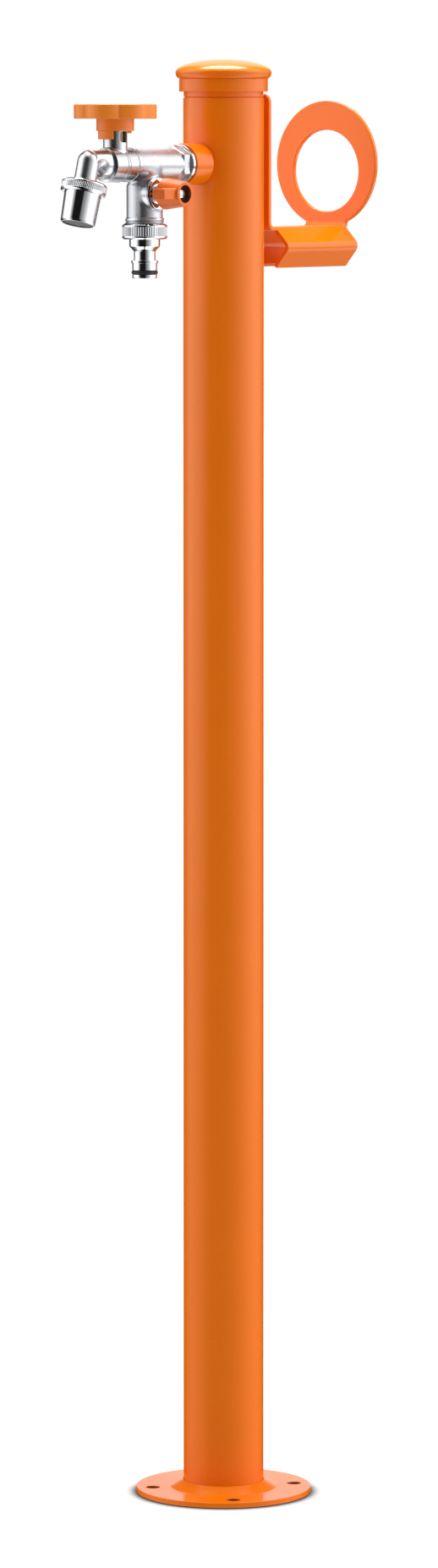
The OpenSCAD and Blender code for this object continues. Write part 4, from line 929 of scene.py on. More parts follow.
class WATERPOST_OT_post(bpy.types.Operator):
    """Rebuild the post: the tube with its side hole, the cap and the boss"""

    bl_idname = "waterpost.post"
    bl_label = "Post, Cap and Boss"

    def execute(self, context):
        """Turns the tube, the cap and the boss, and cuts the boss's hole."""
        p = context.scene.waterpost_post
        foot, top = low("post_tube", Z), high("post_tube", Z)
        boss_r, boss_face = high("outlet_boss", X), low("outlet_boss", Y)
        outline = ring_outline(POST_R - p.wall, POST_R, foot, top, p.edge)
        tube = turned("tube_blank", outline, around=WIDE_AROUND)
        hole, past = p.boss_neck + p.seam, 2 * POST_R
        outline = [(0, 0, 0), (hole, 0, 0), (hole, past, 0), (0, past, 0)]
        cutter, cut = cut_by(turned("cutter", outline, along_tap()))
        mesh = evaluated("tube", tube, cut)
        bpy.data.objects.remove(cutter)
        piece("tube", mesh, "post", "post_paint", ["post_tube"])
        self.cap(p, top)
        bore, start = POST_R - p.wall - p.boss_bore_in, -high("outlet_boss", Y)
        mesh = turned("boss", [
            (bore, start, p.edge), (p.boss_neck, start, p.edge), (p.boss_neck, POST_R, 0),
            (boss_r, POST_R, p.edge), (boss_r, -boss_face, p.edge), (bore, -boss_face, p.edge),
        ], along_tap())
        piece("boss", mesh, "post", "post_paint", ["outlet_boss"])
        return {"FINISHED"}

    def cap(self, p, top):
        """Turns the cap: plug with its ring's groove, neck, skirt and low dome."""
        skirt_z = top + p.cap_neck
        edge_z = skirt_z + p.cap_skirt
        wide_z = edge_z + p.cap_head_edge
        head_r, dome = high("post_cap", X), high("post_cap", Z) - wide_z
        plug_r, foot = high("foot_spacer", X), low("post_cap", Z)
        groove, ring = high("cap_o_ring", X) - 2 * p.cap_ring, middle("cap_o_ring", Z)
        edge_share = 0.55
        edge_in = (head_r - POST_R) * edge_share
        few, many = [[math.pi / 2 * i / steps for i in range(steps + 1)] for steps in (8, 30)]
        rim = [(head_r - edge_in * (1 - math.sin(w)), wide_z - p.cap_head_edge * math.cos(w), 0) for w in few]
        crown = [(head_r * math.cos(w), wide_z + dome * math.sin(w), 0) for w in many[1:]]
        outline = [
            (plug_r - p.cap_plug_wall, foot, 0), (plug_r, foot, p.edge),
            (plug_r, ring - p.cap_ring, 0), (groove, ring - p.cap_ring, 0),
            (groove, ring + p.cap_ring, 0), (plug_r, ring + p.cap_ring, 0), (plug_r, top, 0),
            (POST_R - p.cap_joint, top, 0), (POST_R - p.cap_joint, top + p.cap_joint / 2, 0),
            (POST_R - p.cap_neck_in, top + p.cap_joint, 0), (POST_R - p.cap_neck_in, skirt_z, 0),
            (POST_R + p.cap_skirt_out, skirt_z, p.edge), (POST_R + p.cap_skirt_out, edge_z, p.edge),
        ] + rim + crown + [(0, edge_z, 0), (plug_r - p.cap_plug_wall, edge_z, 0)]
        piece("cap", turned("cap", outline, around=WIDE_AROUND), "post", "post_paint", ["post_cap"])


class WATERPOST_OT_hook(bpy.types.Operator):
    """Rebuild the hook: back strip, arm, folded flanks and ring, bent from one sheet"""

    bl_idname = "waterpost.hook"
    bl_label = "Hose Hook"

    def execute(self, context):
        """Grows the sheet's skin from the middle lines of its spine and flanks."""
        p = context.scene.waterpost_post
        half, edge = p.sheet / 2, p.sheet_edge
        top, end, foot = high("hose_hook", Z), high("hose_hook", Y), low("hose_hook", Z)
        arm = top - p.strip_length
        ring_z = arm + p.ring_rise
        neck = p.ring_rise - math.sqrt(p.ring ** 2 - p.strip_half ** 2)
        ring_foot = ring_z - p.ring_drop - p.ring_hole
        spine = rounded([
            (POST_R + half, top + p.sheet, 0), (POST_R + half, arm - half, p.bend + half),
            (end - half, arm - half, p.bend + half), (end - half, ring_foot - 2 * edge, 0),
        ], p.fold_steps)
        side = p.strip_half - half
        knee, hem = np.array((side + p.flank_reach, arm - p.flank_mid)), np.array((side, arm - p.flank))
        down = (hem - knee) / np.linalg.norm(hem - knee)
        flank = rounded([
            (0, arm - half, 0), (side, arm - half, p.flank_bend), (*knee, p.flank_bend),
            (*(hem + down * p.sheet), 0),
        ], p.fold_steps)
        start, stop = POST_R + p.sheet + p.flank_gap, end - p.flank_back

        def sheet(q):
            """Distance to the hook."""
            x, y, z = np.abs(q[..., 0]), q[..., 1], q[..., 2]
            corner = meet(p.corner, x - p.strip_half, z - top)
            strip = meet(edge, along_line(y, z, spine) - half, corner)
            hole = p.ring_hole - np.hypot(x, z - ring_z + p.ring_drop)
            flat = np.maximum.reduce([np.hypot(x, z - ring_z) - p.ring, hole, arm + neck - z])
            ring = meet(edge, between(y, end - p.sheet, end), flat)
            past = (x - hem[0]) * down[0] + (z - hem[1]) * down[1]
            flanks = meet(edge, along_line(x, z, flank) - half, past, between(y, start, stop))
            return np.minimum.reduce([strip, flanks, ring])

        mesh = skin("hook", sheet, (-p.ring, POST_R, foot), (p.ring, end, top), p.hook_step)
        piece("hook", mesh, "post", "post_paint", ["hose_hook"])
        return {"FINISHED"}


class WATERPOST_OT_rings(bpy.types.Operator):
    """Rebuild the turned rings: gasket, lock ring, gland, bonnet and O-ring"""

    bl_idname = "waterpost.rings"
    bl_label = "Turned Rings"

    def execute(self, context):
        """Turns each ring at the place of its frame node."""
        t = context.scene.waterpost_tap
        bore, stem = t.thread + t.thread_gap, t.stem + t.stem_gap
        for name, node, slot, edge in (
            ("gasket", "inlet_gasket", "fibre", t.ring_edge / 2),
            ("lock_ring_turned", "lock_ring", "polished_chrome", t.ring_edge),
        ):
            outline = ring_outline(bore, high(node, X), -high(node, Y), -low(node, Y), edge)
            piece(name, turned(name, outline, along_tap()), "post", slot, [node])
        node = "stem_gland"
        outline = ring_outline(stem, high(node, X), low(node, Z), high(node, Z), t.ring_edge)
        gland = turned("gland", outline, upright(STEM_Y))
        # Painted shade over the whole gland, which lies in shade behind the neck's window
        piece("gland", gland, "post", "bare_brass", [node], deep=lambda co: PAINTED_HOLE_SHADE)
        inner, seat, nose = low("branch_bonnet", X), seat_place(t), high("branch_bonnet", X)
        cup, cup_end = high("front_stem", X) + t.clear, high("branch_stem_o_ring", X) + t.clear
        shank, face = t.bonnet - t.bonnet_seat, seat + t.bonnet_seat
        bonnet = turned("bonnet", [
            (cup, inner, 0), (shank, inner, t.ring_edge), (shank, seat, 0), (t.bonnet, seat, t.ring_edge),
            (t.bonnet - t.bonnet_seat / 2, face, t.ring_edge), (t.bonnet_nose, face, 0),
            (t.bonnet_nose, nose, t.ring_edge), (stem, nose, 0), (stem, cup_end, 0), (cup, cup_end, 0),
        ], along_knob())
        piece("bonnet", bonnet, "post", "polished_chrome", ["branch_bonnet"])
        node = "connector_o_ring"
        section = (high(node, Z) - low(node, Z)) / 2
        outline = circle_outline(high(node, X) - section, middle(node, Z), section)
        piece("plug_ring", turned("plug_ring", outline, upright(BRANCH_Y)), "post", "black_rubber", [node])
        return {"FINISHED"}


def seat_place(t):
    """Place of the bonnet's seat along the knob's axis."""
    return high("branch_bonnet", X) - t.bonnet_nose_length - t.bonnet_seat


class WATERPOST_OT_tap(bpy.types.Operator):
    """Rebuild the cast tap: hexagon, tube and threaded branch"""

    bl_idname = "waterpost.tap"
    bl_label = "Cast Tap"

    def execute(self, context):
        """Grows the casting's skin and winds the outlet's thread."""
        t = context.scene.waterpost_tap
        back, front, foot = high("tap_body", Y), low("tap_body", Y), low("tap_body", Z)
        hex_back = low("lock_ring", Y) - t.hexagon_gap
        hex_front = hex_back - t.hexagon_length
        bead_foot = high("hose_connector", Z) + t.thread_shown
        seat_low, seat_high = low("branch_ball_seats", Z) - t.seam, high("branch_ball_seats", Z) + t.seam
        axis, down, side = (0, 0, TAP_Z), (0, BRANCH_Y, 0), (0, BRANCH_Y, KNOB_Z)
        outlet_r, seat = high("tap_body", X), seat_place(t)
        far, shank_r = 2 * outlet_r, t.bonnet - t.bonnet_seat + t.thread_gap

        def casting(q):
            """Distance to the cast body."""
            x, y, z = q[..., 0], q[..., 1], q[..., 2] - TAP_Z
            flats = np.maximum(np.abs(x), np.abs(x) / 2 + np.abs(z) * math.sqrt(0.75)) - t.hexagon / 2
            along = between(y, hex_back, hex_front)
            turned_off = (np.hypot(x, z) - t.hexagon / 2 + along) * math.sqrt(0.5) - t.hexagon_chamfer
            nut = np.maximum(meet(t.cast_edge, flats, along), turned_off)
            tube = rod(q, Y, axis, t.tube, hex_front + t.cast_edge, JOINT_Y, t.cast_edge / 2)
            shoulder = KNOB_Z + t.branch_top / 2 + t.shoulder / 2
            taper = np.clip((q[..., 2] - shoulder) / t.shoulder + 0.5, 0, 1)
            branch = rod(q, Z, down, t.branch - (t.branch - t.branch_top) * taper, bead_foot, TAP_Z)
            boss = rod(q, X, side, t.bonnet, 0, seat + t.bonnet_seat, t.cast_edge)
            body = melt(melt(tube, branch, t.cast_fillet), boss, t.cast_fillet / 2)
            body = np.minimum.reduce([
                melt(body, nut, t.cast_edge),
                rod(q, Z, down, t.branch + t.bead, bead_foot, bead_foot + t.bead_height, t.cast_edge / 2),
                rod(q, Y, axis, t.thread, back, hex_front, t.cast_edge),
                rod(q, Y, axis, t.joint, JOINT_Y + t.tube, front, t.cast_edge),
            ])
            body = carve(body, rod(q, X, side, t.bonnet + t.clear, seat, far), t.cast_edge / 2)
            return cut_all(
                body,
                rod(q, Y, axis, t.tap_way, back + outlet_r, front - outlet_r),
                rod(q, Z, down, t.water_way, 0, TAP_Z),
                rod(q, Z, down, high("branch_ball_seats", X) + t.seam, seat_low, seat_high),
                rod(q, X, side, high("branch_ball", Z) - KNOB_Z + t.seam, 0, far),
                rod(q, X, side, shank_r, low("branch_bonnet", X) - t.seam, far),
            )

        top = TAP_Z + t.hexagon / math.sqrt(3)
        cast = skin("tap", casting, (-outlet_r, front, bead_foot), (outlet_r, back, top), t.step)
        piece("tap", cast, "post", "cast_chrome", ["tap_body"])
        thread = thread_mesh(
            "outlet_thread", outlet_r, t.thread_depth, t.thread_pitch, foot, bead_foot + t.bead_height / 2,
            t.water_way, upright(BRANCH_Y),
        )
        piece("outlet_thread", thread, "post", "cast_chrome", ["tap_body"], THREAD_SHARP_FROM)
        return {"FINISHED"}


class WATERPOST_OT_valve(bpy.types.Operator):
    """Rebuild the front valve: barrel, raised band, neck and window"""

    bl_idname = "waterpost.valve"
    bl_label = "Front Valve"

    def execute(self, context):
        """Grows the valve's skin with its neck and its inner steps."""
        t = context.scene.waterpost_tap
        axis, up = (0, 0, TAP_Z), (0, STEM_Y, 0)
        top, far = high("front_valve_body", Z), t.valve * 2
        seat_r = high("front_ball_seats", X) + t.seam
        back_seat, front_seat = high("front_ball_seats", Y), low("front_ball_seats", Y)
        band = JOINT_Y - t.band_start
        gland_foot = low("stem_gland", Z)
        window_corner = (-far, STEM_Y - t.window / 2, TAP_Z + t.window_low)
        window_other = (far, STEM_Y + t.window / 2, TAP_Z + t.window_high)

        def valve(q):
            """Distance to the front valve's body."""
            y, from_axis = q[..., 1], np.hypot(q[..., 0], q[..., 2] - TAP_Z)
            barrel = rod(q, Y, axis, t.valve, JOINT_Y, FACE_Y, t.valve_edge)
            raised = rod(q, Y, axis, t.valve + t.band, band, band - t.band_width, t.band / 3)
            barrel = np.minimum(barrel, raised)
            for place in (0, t.line_place, t.band_start):
                groove = np.hypot(from_axis - t.valve, y - JOINT_Y + place) - t.line_depth
                barrel = carve(barrel, groove, t.line_depth / 2)
            past = from_axis - t.nose - t.band
            face = past * math.sin(t.face_tilt) - (y - FACE_Y) * math.cos(t.face_tilt)
            neck = rod(q, Z, up, t.neck, TAP_Z, top, t.valve_edge)
            body = melt(np.maximum(barrel, face), neck, t.neck_fillet)
            return cut_all(
                carve(body, block(q, window_corner, window_other, t.window_edge), t.line_depth),
                rod(q, Y, axis, t.joint + t.thread_gap, far, back_seat),
                rod(q, Y, axis, seat_r, far, FACE_Y - far),
                rod(q, Y, axis, t.joint + t.thread_gap, front_seat, FACE_Y - far),
                rod(q, Z, up, t.stem + t.stem_gap, TAP_Z, top + far),
                rod(q, Z, up, high("front_stem", X) + t.clear, TAP_Z + t.collar_cup, top + far),
                rod(q, Z, up, high("stem_gland", X) + t.thread_gap, gland_foot, top + far),
            )

        reach = t.valve + t.band
        mesh = skin("valve", valve, (-reach, FACE_Y, TAP_Z - reach), (reach, JOINT_Y, top), t.fine_step)
        piece("valve", mesh, "post", "cast_chrome", ["front_valve_body"], look="satin_chrome")
        return {"FINISHED"}


class WATERPOST_OT_spout(bpy.types.Operator):
    """Rebuild the spout: rounded nose, flat pipe, bend and leg"""

    bl_idname = "waterpost.spout"
    bl_label = "Spout"

    def execute(self, context):
        """Grows the spout's skin round its water way."""
        t = context.scene.waterpost_tap
        leg = along_leg(t)
        inverse = np.array(leg.inverted())
        bend = leg.translation
        pipe_z = TAP_Z + t.pipe_rise
        nut_r = high("spout", X)
        back, end = high("spout", Y), t.leg_length + t.aerator_thread

        def spout(q):
            """Distance to the spout."""
            x, y, z = q[..., 0], q[..., 1], q[..., 2]
            local = q @ inverse[:3, :3].T + inverse[:3, 3]
            from_bend = np.sqrt((local ** 2).sum(-1))
            ball = np.sqrt(x ** 2 + (y - FACE_Y) ** 2 + (z - TAP_Z) ** 2) - t.nose
            nose = np.maximum(ball, y - FACE_Y)
            beside = np.maximum(np.abs(x) - (t.pipe_width - t.pipe_height) / 2, 0)
            pipe = meet(0, np.hypot(beside, z - pipe_z) - t.pipe_height / 2, between(y, bend[1], FACE_Y))
            down = rod(local, Z, (0, 0, 0), t.pipe_width / 2, 0, end)
            bent = melt(np.minimum(from_bend - t.pipe_width / 2, down), pipe, t.bend_blend)
            body = np.minimum.reduce([
                melt(bent, nose, t.nose_fillet),
                rod(q, Y, (0, 0, TAP_Z), t.joint, back, FACE_Y),
                rod(local, Z, (0, 0, 0), nut_r, t.leg_length, end, t.cast_edge / 2),
            ])
            return cut_all(
                body,
                rod(q, Y, (0, 0, TAP_Z), t.spout_way, back + nut_r, FACE_Y - t.nose / 2),
                rod(q, Y, (0, 0, pipe_z), t.spout_way, FACE_Y, bend[1]),
                from_bend - t.spout_way,
                rod(local, Z, (0, 0, 0), t.spout_way, 0, end + nut_r),
            )

        corner, other = (-nut_r, low("spout", Y), low("spout", Z)), (nut_r, back, high("spout", Z))
        mesh = skin("spout_bent", spout, corner, other, t.fine_step)
        piece("spout_bent", mesh, "post", "polished_chrome", ["spout"], look="satin_chrome")
        return {"FINISHED"}


def nut_outline(bore, radius, core, start, end, band, edge):
    """The outer outline of a knurled nut: a smooth band at each end of a lower core."""
    step = math.copysign(band, end - start)
    return [
        (bore, start, 0), (radius - band / 2, start, edge), (radius, start + step / 2, edge),
        (radius, start + step, edge / 2), (core, start + step, 0), (core, end - step, 0),
        (radius, end - step, edge / 2), (radius, end - step / 2, edge), (radius - band / 2, end, edge),
    ]


class WATERPOST_OT_aerator(bpy.types.Operator):
    """Rebuild the aerator: knurled nut, housing and mesh"""

    bl_idname = "waterpost.aerator"
    bl_label = "Aerator"

    def execute(self, context):
        """Turns the nut and the housing, and lays knurls and wires by Geometry Nodes."""
        t, f = context.scene.waterpost_tap, context.scene.waterpost_fittings
        leg = along_leg(t)
        nut_r, thread_r = high("aerator_nut", X), high("spout", X)
        start, band = t.leg_length, f.nut_length / 4
        lip = start + f.nut_length
        lip_in = lip - f.lip
        core_r = nut_r - f.knurl_depth
        inner = f.housing + t.seam
        bore = thread_r + t.thread_gap
        core = turned("aerator_nut_core", nut_outline(bore, nut_r, core_r, start, lip, band, f.edge) + [
            (inner, lip, 0), (inner, lip_in, 0), (bore, lip_in, 0),
        ])
        bars = grown(
            "aerator_knurl", ridge_ring_tree("polished_chrome", (1, -1)), None, Count=f.diamonds,
            Radius=nut_r - RIDGE_IN * f.knurl_depth, Height=(f.nut_length - 2 * band) / math.cos(f.slant),
            Ridge=CROSSED_RIDGE * f.knurl_depth, Slant=f.slant,
        )
        bars.transform(Matrix.Translation((0, 0, start + f.nut_length / 2)))
        nut = joined("aerator_nut_knurled", [core, bars])
        nut.transform(leg)
        piece("aerator_nut_knurled", nut, "post", "polished_chrome", ["aerator_nut"])
        end = lip + f.housing_length
        mouth, wall = f.housing_mouth, f.housing_wall
        seat = start + t.aerator_thread + f.washer
        housing = turned("housing", [
            (f.housing - wall, seat, 0), (thread_r, seat, 0), (thread_r, lip_in, 0), (f.housing, lip_in, 0),
            (f.housing, lip, 0), (mouth, end - wall, f.edge), (mouth - wall / 2, end, f.edge / 2),
            (mouth - wall, end, 0), (mouth - wall, lip, 0), (f.housing - wall, lip_in, 0),
        ], leg)
        piece("housing", housing, "post", "polished_chrome", ["aerator_housing"])
        disc_r, face = mouth - wall - t.seam, end - f.cloth_set_back
        sunk_share = 0.2
        disc_low, disc_high = face - f.cloth_depth, face - (2 - sunk_share) * f.cloth_wire
        outline = [(0, disc_low, 0), (disc_r, disc_low, 0), (disc_r, disc_high, 0), (0, disc_high, 0)]
        disc = turned("cloth_disc", outline)
        wires = grown(
            "wires", wire_cloth_tree(), None, Radius=disc_r - f.cloth_wire / 2, Pitch=f.cloth_pitch,
            Wire=f.cloth_wire,
        )
        layers_top = 1.5 * f.cloth_wire
        wires.transform(Matrix.Translation((0, 0, face - layers_top)))
        cloth = joined("cloth", [disc, wires])
        cloth.transform(leg)
        piece("cloth", cloth, "post", "mesh_steel", ["aerator_mesh"])
        return {"FINISHED"}


class WATERPOST_OT_connector(bpy.types.Operator):
    """Rebuild the hose connector: ridged nut, bell, neck and plug"""

    bl_idname = "waterpost.connector"
    bl_label = "Hose Connector"

    def execute(self, context):
        """Turns the connector and sets upright ridges round its nut."""
        t, f = context.scene.waterpost_tap, context.scene.waterpost_fittings
        top, end, nut_r = high("hose_connector", Z), low("hose_connector", Z), high("hose_connector", X)
        foot, band = top - f.connector_nut, f.connector_band
        bell = foot - f.bell_height
        neck = bell - f.taper_height
        catch = neck - f.plug_neck_length
        plug = catch - f.catch_height
        groove_low, groove_high = low("connector_o_ring", Z), high("connector_o_ring", Z)
        groove = high("connector_o_ring", X) - (groove_high - groove_low)
        core_r, thread_r = nut_r - f.knurl_depth, high("tap_body", X) + t.thread_gap
        seat = low("hose_washer", Z)
        core = turned("connector_core", nut_outline(thread_r, nut_r, core_r, top, foot, band, f.edge) + [
            (f.bell, foot, f.edge), (f.bell, bell, f.edge), (f.plug_neck, neck, f.edge),
            (f.plug_neck, catch, f.edge / 2), (f.catch, catch, f.edge), (f.catch, plug, f.edge),
            (f.plug, plug, 0), (f.plug, groove_high, 0), (groove, groove_high, 0), (groove, groove_low, 0),
            (f.plug, groove_low, 0), (f.plug, end, f.edge * 2), (f.plug_bore, end, f.edge),
            (f.plug_bore, seat, 0), (thread_r, seat, 0),
        ])
        bars = grown(
            "connector_ridges", ridge_ring_tree("polished_chrome", (1,)), None, Count=f.ridges,
            Radius=nut_r - RIDGE_IN * f.knurl_depth, Height=f.connector_nut - 2 * band + f.edge,
            Ridge=UPRIGHT_RIDGE * f.knurl_depth, Slant=0.0,
        )
        bars.transform(Matrix.Translation((0, 0, (top + foot) / 2)))
        mesh = joined("connector", [core, bars])
        mesh.transform(upright(BRANCH_Y))
        piece("connector", mesh, "post", "polished_chrome", ["hose_connector"])
        return {"FINISHED"}


class WATERPOST_OT_handwheel(bpy.types.Operator):
    """Rebuild the handwheel: rounded lobes, dish, hub and stop lugs"""

    bl_idname = "waterpost.handwheel"
    bl_label = "Handwheel"

    def execute(self, context):
        """Grows the handwheel's skin and its screw."""
        t, h = context.scene.waterpost_tap, context.scene.waterpost_handles
        top, foot = high("handwheel", Z), low("handwheel", Z) + h.long_lug
        floor = low("handwheel_screw", Z) + h.screw_length
        up = (0, STEM_Y, 0)
        reach = h.wheel - h.lobe
        hole, overrun = h.square / 2, h.rim / 9

        def wheel(q):
            """Distance to the handwheel."""
            x, y, z = q[..., 0], q[..., 1] - STEM_Y, q[..., 2]
            lobes = None
            for i in range(h.lobes):
                w = h.lobe_turn + 2 * math.pi * i / h.lobes
                lobe = np.hypot(x - reach * math.cos(w), y - reach * math.sin(w)) - h.lobe
                lobes = lobe if lobes is None else melt(lobes, lobe, h.valley)
            rim = meet(h.wheel_edge, lobes, between(z, top - h.rim, top))
            body = melt(rim, rod(q, Z, up, h.hub, foot, top - h.rim / 2, h.wheel_edge / 2), h.wheel_edge)
            distance = np.hypot(x, y)
            sleeve = np.maximum(distance - h.hub + h.lug_in, t.neck + 2 * t.clear - distance)
            for way, sweep, length in ((-1, h.long_sweep, h.long_lug), (1, h.short_sweep, h.short_lug)):
                beside = np.abs(x) * math.cos(sweep) - way * y * math.sin(sweep)
                tall = between(z, foot - length, foot + h.rim / 2)
                body = np.minimum(body, meet(h.lug_edge, np.maximum(sleeve, beside), tall))
            body = cut_all(
                body, rod(q, Z, up, t.neck + t.clear, foot - h.rim, foot + h.hub_cup),
                block(q, (-hole, STEM_Y - hole, foot), (hole, STEM_Y + hole, floor + overrun)),
            )
            body = carve(body, rod(q, Z, up, h.recess, floor, top + h.rim), h.lug_edge)
            return carve(body, rod(q, Z, up, h.dish, top - h.dish_depth, top + h.rim), h.lug_edge)

        def recess(co):
            """How dark the painted shade makes the handwheel at a place: dark in the screw's recess."""
            from_axis = math.hypot(co.x, co.y - STEM_Y)
            return float(from_axis < h.recess - h.lug_edge / 3 and co.z > foot + h.hub_cup)

        corner = (-h.wheel, STEM_Y - h.wheel, low("handwheel", Z))
        mesh = skin("wheel", wheel, corner, (h.wheel, STEM_Y + h.wheel, top), h.step)
        piece("wheel", mesh, "wheel", "wheel_plastic", ["handwheel"], deep=recess)
        screw = screw_mesh("wheel_screw", h, Matrix.Translation((0, STEM_Y, floor)))
        piece("wheel_screw", screw, "wheel", "screw_steel", ["handwheel_screw"])
        return {"FINISHED"}


def screw_mesh(name, h, place):
    """A pan head screw with a cross recess; its head stands on local z = 0."""
    half, width = h.screw_head * CROSS_HALF, h.screw_head * CROSS_WIDTH

    def screw(q):
        """Distance to the screw."""
        x, y, z = q[..., 0], q[..., 1], q[..., 2]
        dome = np.sqrt(x ** 2 + y ** 2 + (z + h.screw_dome - h.screw_height) ** 2) - h.screw_dome
        head = np.maximum(rod(q, Z, (0, 0, 0), h.screw_head, 0, 2 * h.screw_height, h.screw_edge), dome)
        body = np.minimum(head, rod(q, Z, (0, 0, 0), h.screw_shank, -h.screw_length, h.screw_height / 2))
        for a, b in ((half, width), (width, half)):
            cross = block(q, (-a, -b, h.screw_height * CROSS_FLOOR), (a, b, 2 * h.screw_height))
            body = carve(body, cross, h.screw_edge / 2)
        return body

    reach = h.screw_head
    mesh = skin(name, screw, (-reach, -reach, -h.screw_length), (reach, reach, h.screw_height), h.screw_step)
    mesh.transform(place)
    return mesh


class WATERPOST_OT_knob(bpy.types.Operator):
    """Rebuild the side knob: cone, lever and recess"""

    bl_idname = "waterpost.knob"
    bl_label = "Side Knob"

    def execute(self, context):
        """Grows the knob's skin and its screw."""
        t, h = context.scene.waterpost_tap, context.scene.waterpost_handles
        foot, end = low("branch_knob", X), high("branch_knob", X)
        floor = low("branch_knob_screw", X) + h.screw_length
        side = (0, BRANCH_Y, KNOB_Z)
        lever_end = end - h.lever_back
        hole = h.square / 2

        slope = math.cos(math.atan2(h.knob_foot - h.knob_end, end - foot))
        square_corner = (0, BRANCH_Y - hole, KNOB_Z - hole)
        square_other = (floor + h.lug_edge, BRANCH_Y + hole, KNOB_Z + hole)

        def knob(q):
            """Distance to the side knob."""
            share_out = np.clip((q[..., 0] - foot) / (end - foot), 0, 1)
            radius = h.knob_foot - (h.knob_foot - h.knob_end) * share_out
            around = (np.hypot(q[..., 1] - BRANCH_Y, q[..., 2] - KNOB_Z) - radius) * slope
            cone = meet(h.knob_edge, around, between(q[..., 0], foot, end))
            lever = block(
                q, (lever_end - h.lever_width, low("branch_knob", Y), KNOB_Z - h.lever_height / 2),
                (lever_end, BRANCH_Y, KNOB_Z + h.lever_height / 2), h.knob_edge,
            )
            body = melt(cone, lever, h.knob_edge)
            body = carve(body, rod(q, X, side, h.recess, floor, end + h.recess), h.lug_edge)
            cup = rod(q, X, side, t.stem + t.clear, foot - t.stem, foot + 2 * t.clear)
            return cut_all(body, cup, block(q, square_corner, square_other))

        def recess(co):
            """How dark the painted shade makes the knob at a place: dark in the screw's recess."""
            from_axis = math.hypot(co.y - BRANCH_Y, co.z - KNOB_Z)
            return float(from_axis < h.recess + h.lug_edge / 4 and co.x < end - h.lug_edge)

        r = h.knob_foot
        corner = (foot, low("branch_knob", Y), KNOB_Z - r)
        mesh = skin("knob_cone", knob, corner, (end, BRANCH_Y + r, KNOB_Z + r), h.step)
        piece("knob_cone", mesh, "knob", "knob_plastic", ["branch_knob"], deep=recess)
        screw = screw_mesh("knob_screw", h, along_knob() @ Matrix.Translation((0, 0, floor)))
        piece("knob_screw", screw, "knob", "screw_steel", ["branch_knob_screw"])
        return {"FINISHED"}


class WATERPOST_OT_finishes(bpy.types.Operator):
    """Give the frame's inner pieces their procedural finishes"""

    bl_idname = "waterpost.finishes"
    bl_label = "Inner Finishes"

    def execute(self, context):
        """Sets each inner node's slot to the finish of that slot's name."""
        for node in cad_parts.values():
            for slot in node.material_slots:
                if slot.material and slot.material.name in FINISHES:
                    slot.material = finish(slot.material.name)
        return {"FINISHED"}


# Brightness of the studio's walls by the angle from the camera's side towards its right, in degrees
WALLS = (
    (-180, 0.8), (-168, 0.8), (-163, 0.05), (-145, 0.05), (-128, 0.3), (-112, 1.5), (-78, 1.7), (-64, 1.2),
    (-50, 0.4), (-40, 0.01), (8, 0.01), (13, 0.2), (30, 0.4), (50, 0.9), (70, 1.8), (100, 2.0), (120, 1.0),
    (134, 0.35), (143, 0.04), (160, 0.04), (166, 0.8), (180, 0.8),
)
# Heights on the unit sphere: the ends of the walls' dim foot, from low to high, and of the ceiling's edge
FOOT_HEIGHTS = (-0.34, -0.24, -0.18, -0.01)
CEILING_HEIGHTS = (0.80, 0.90)
# Width of the camera's sensor in mm, and the nearest and farthest place that it sees, in metres
SENSOR, SEEN_FROM, SEEN_TO = 36.0, 0.1, 60.0


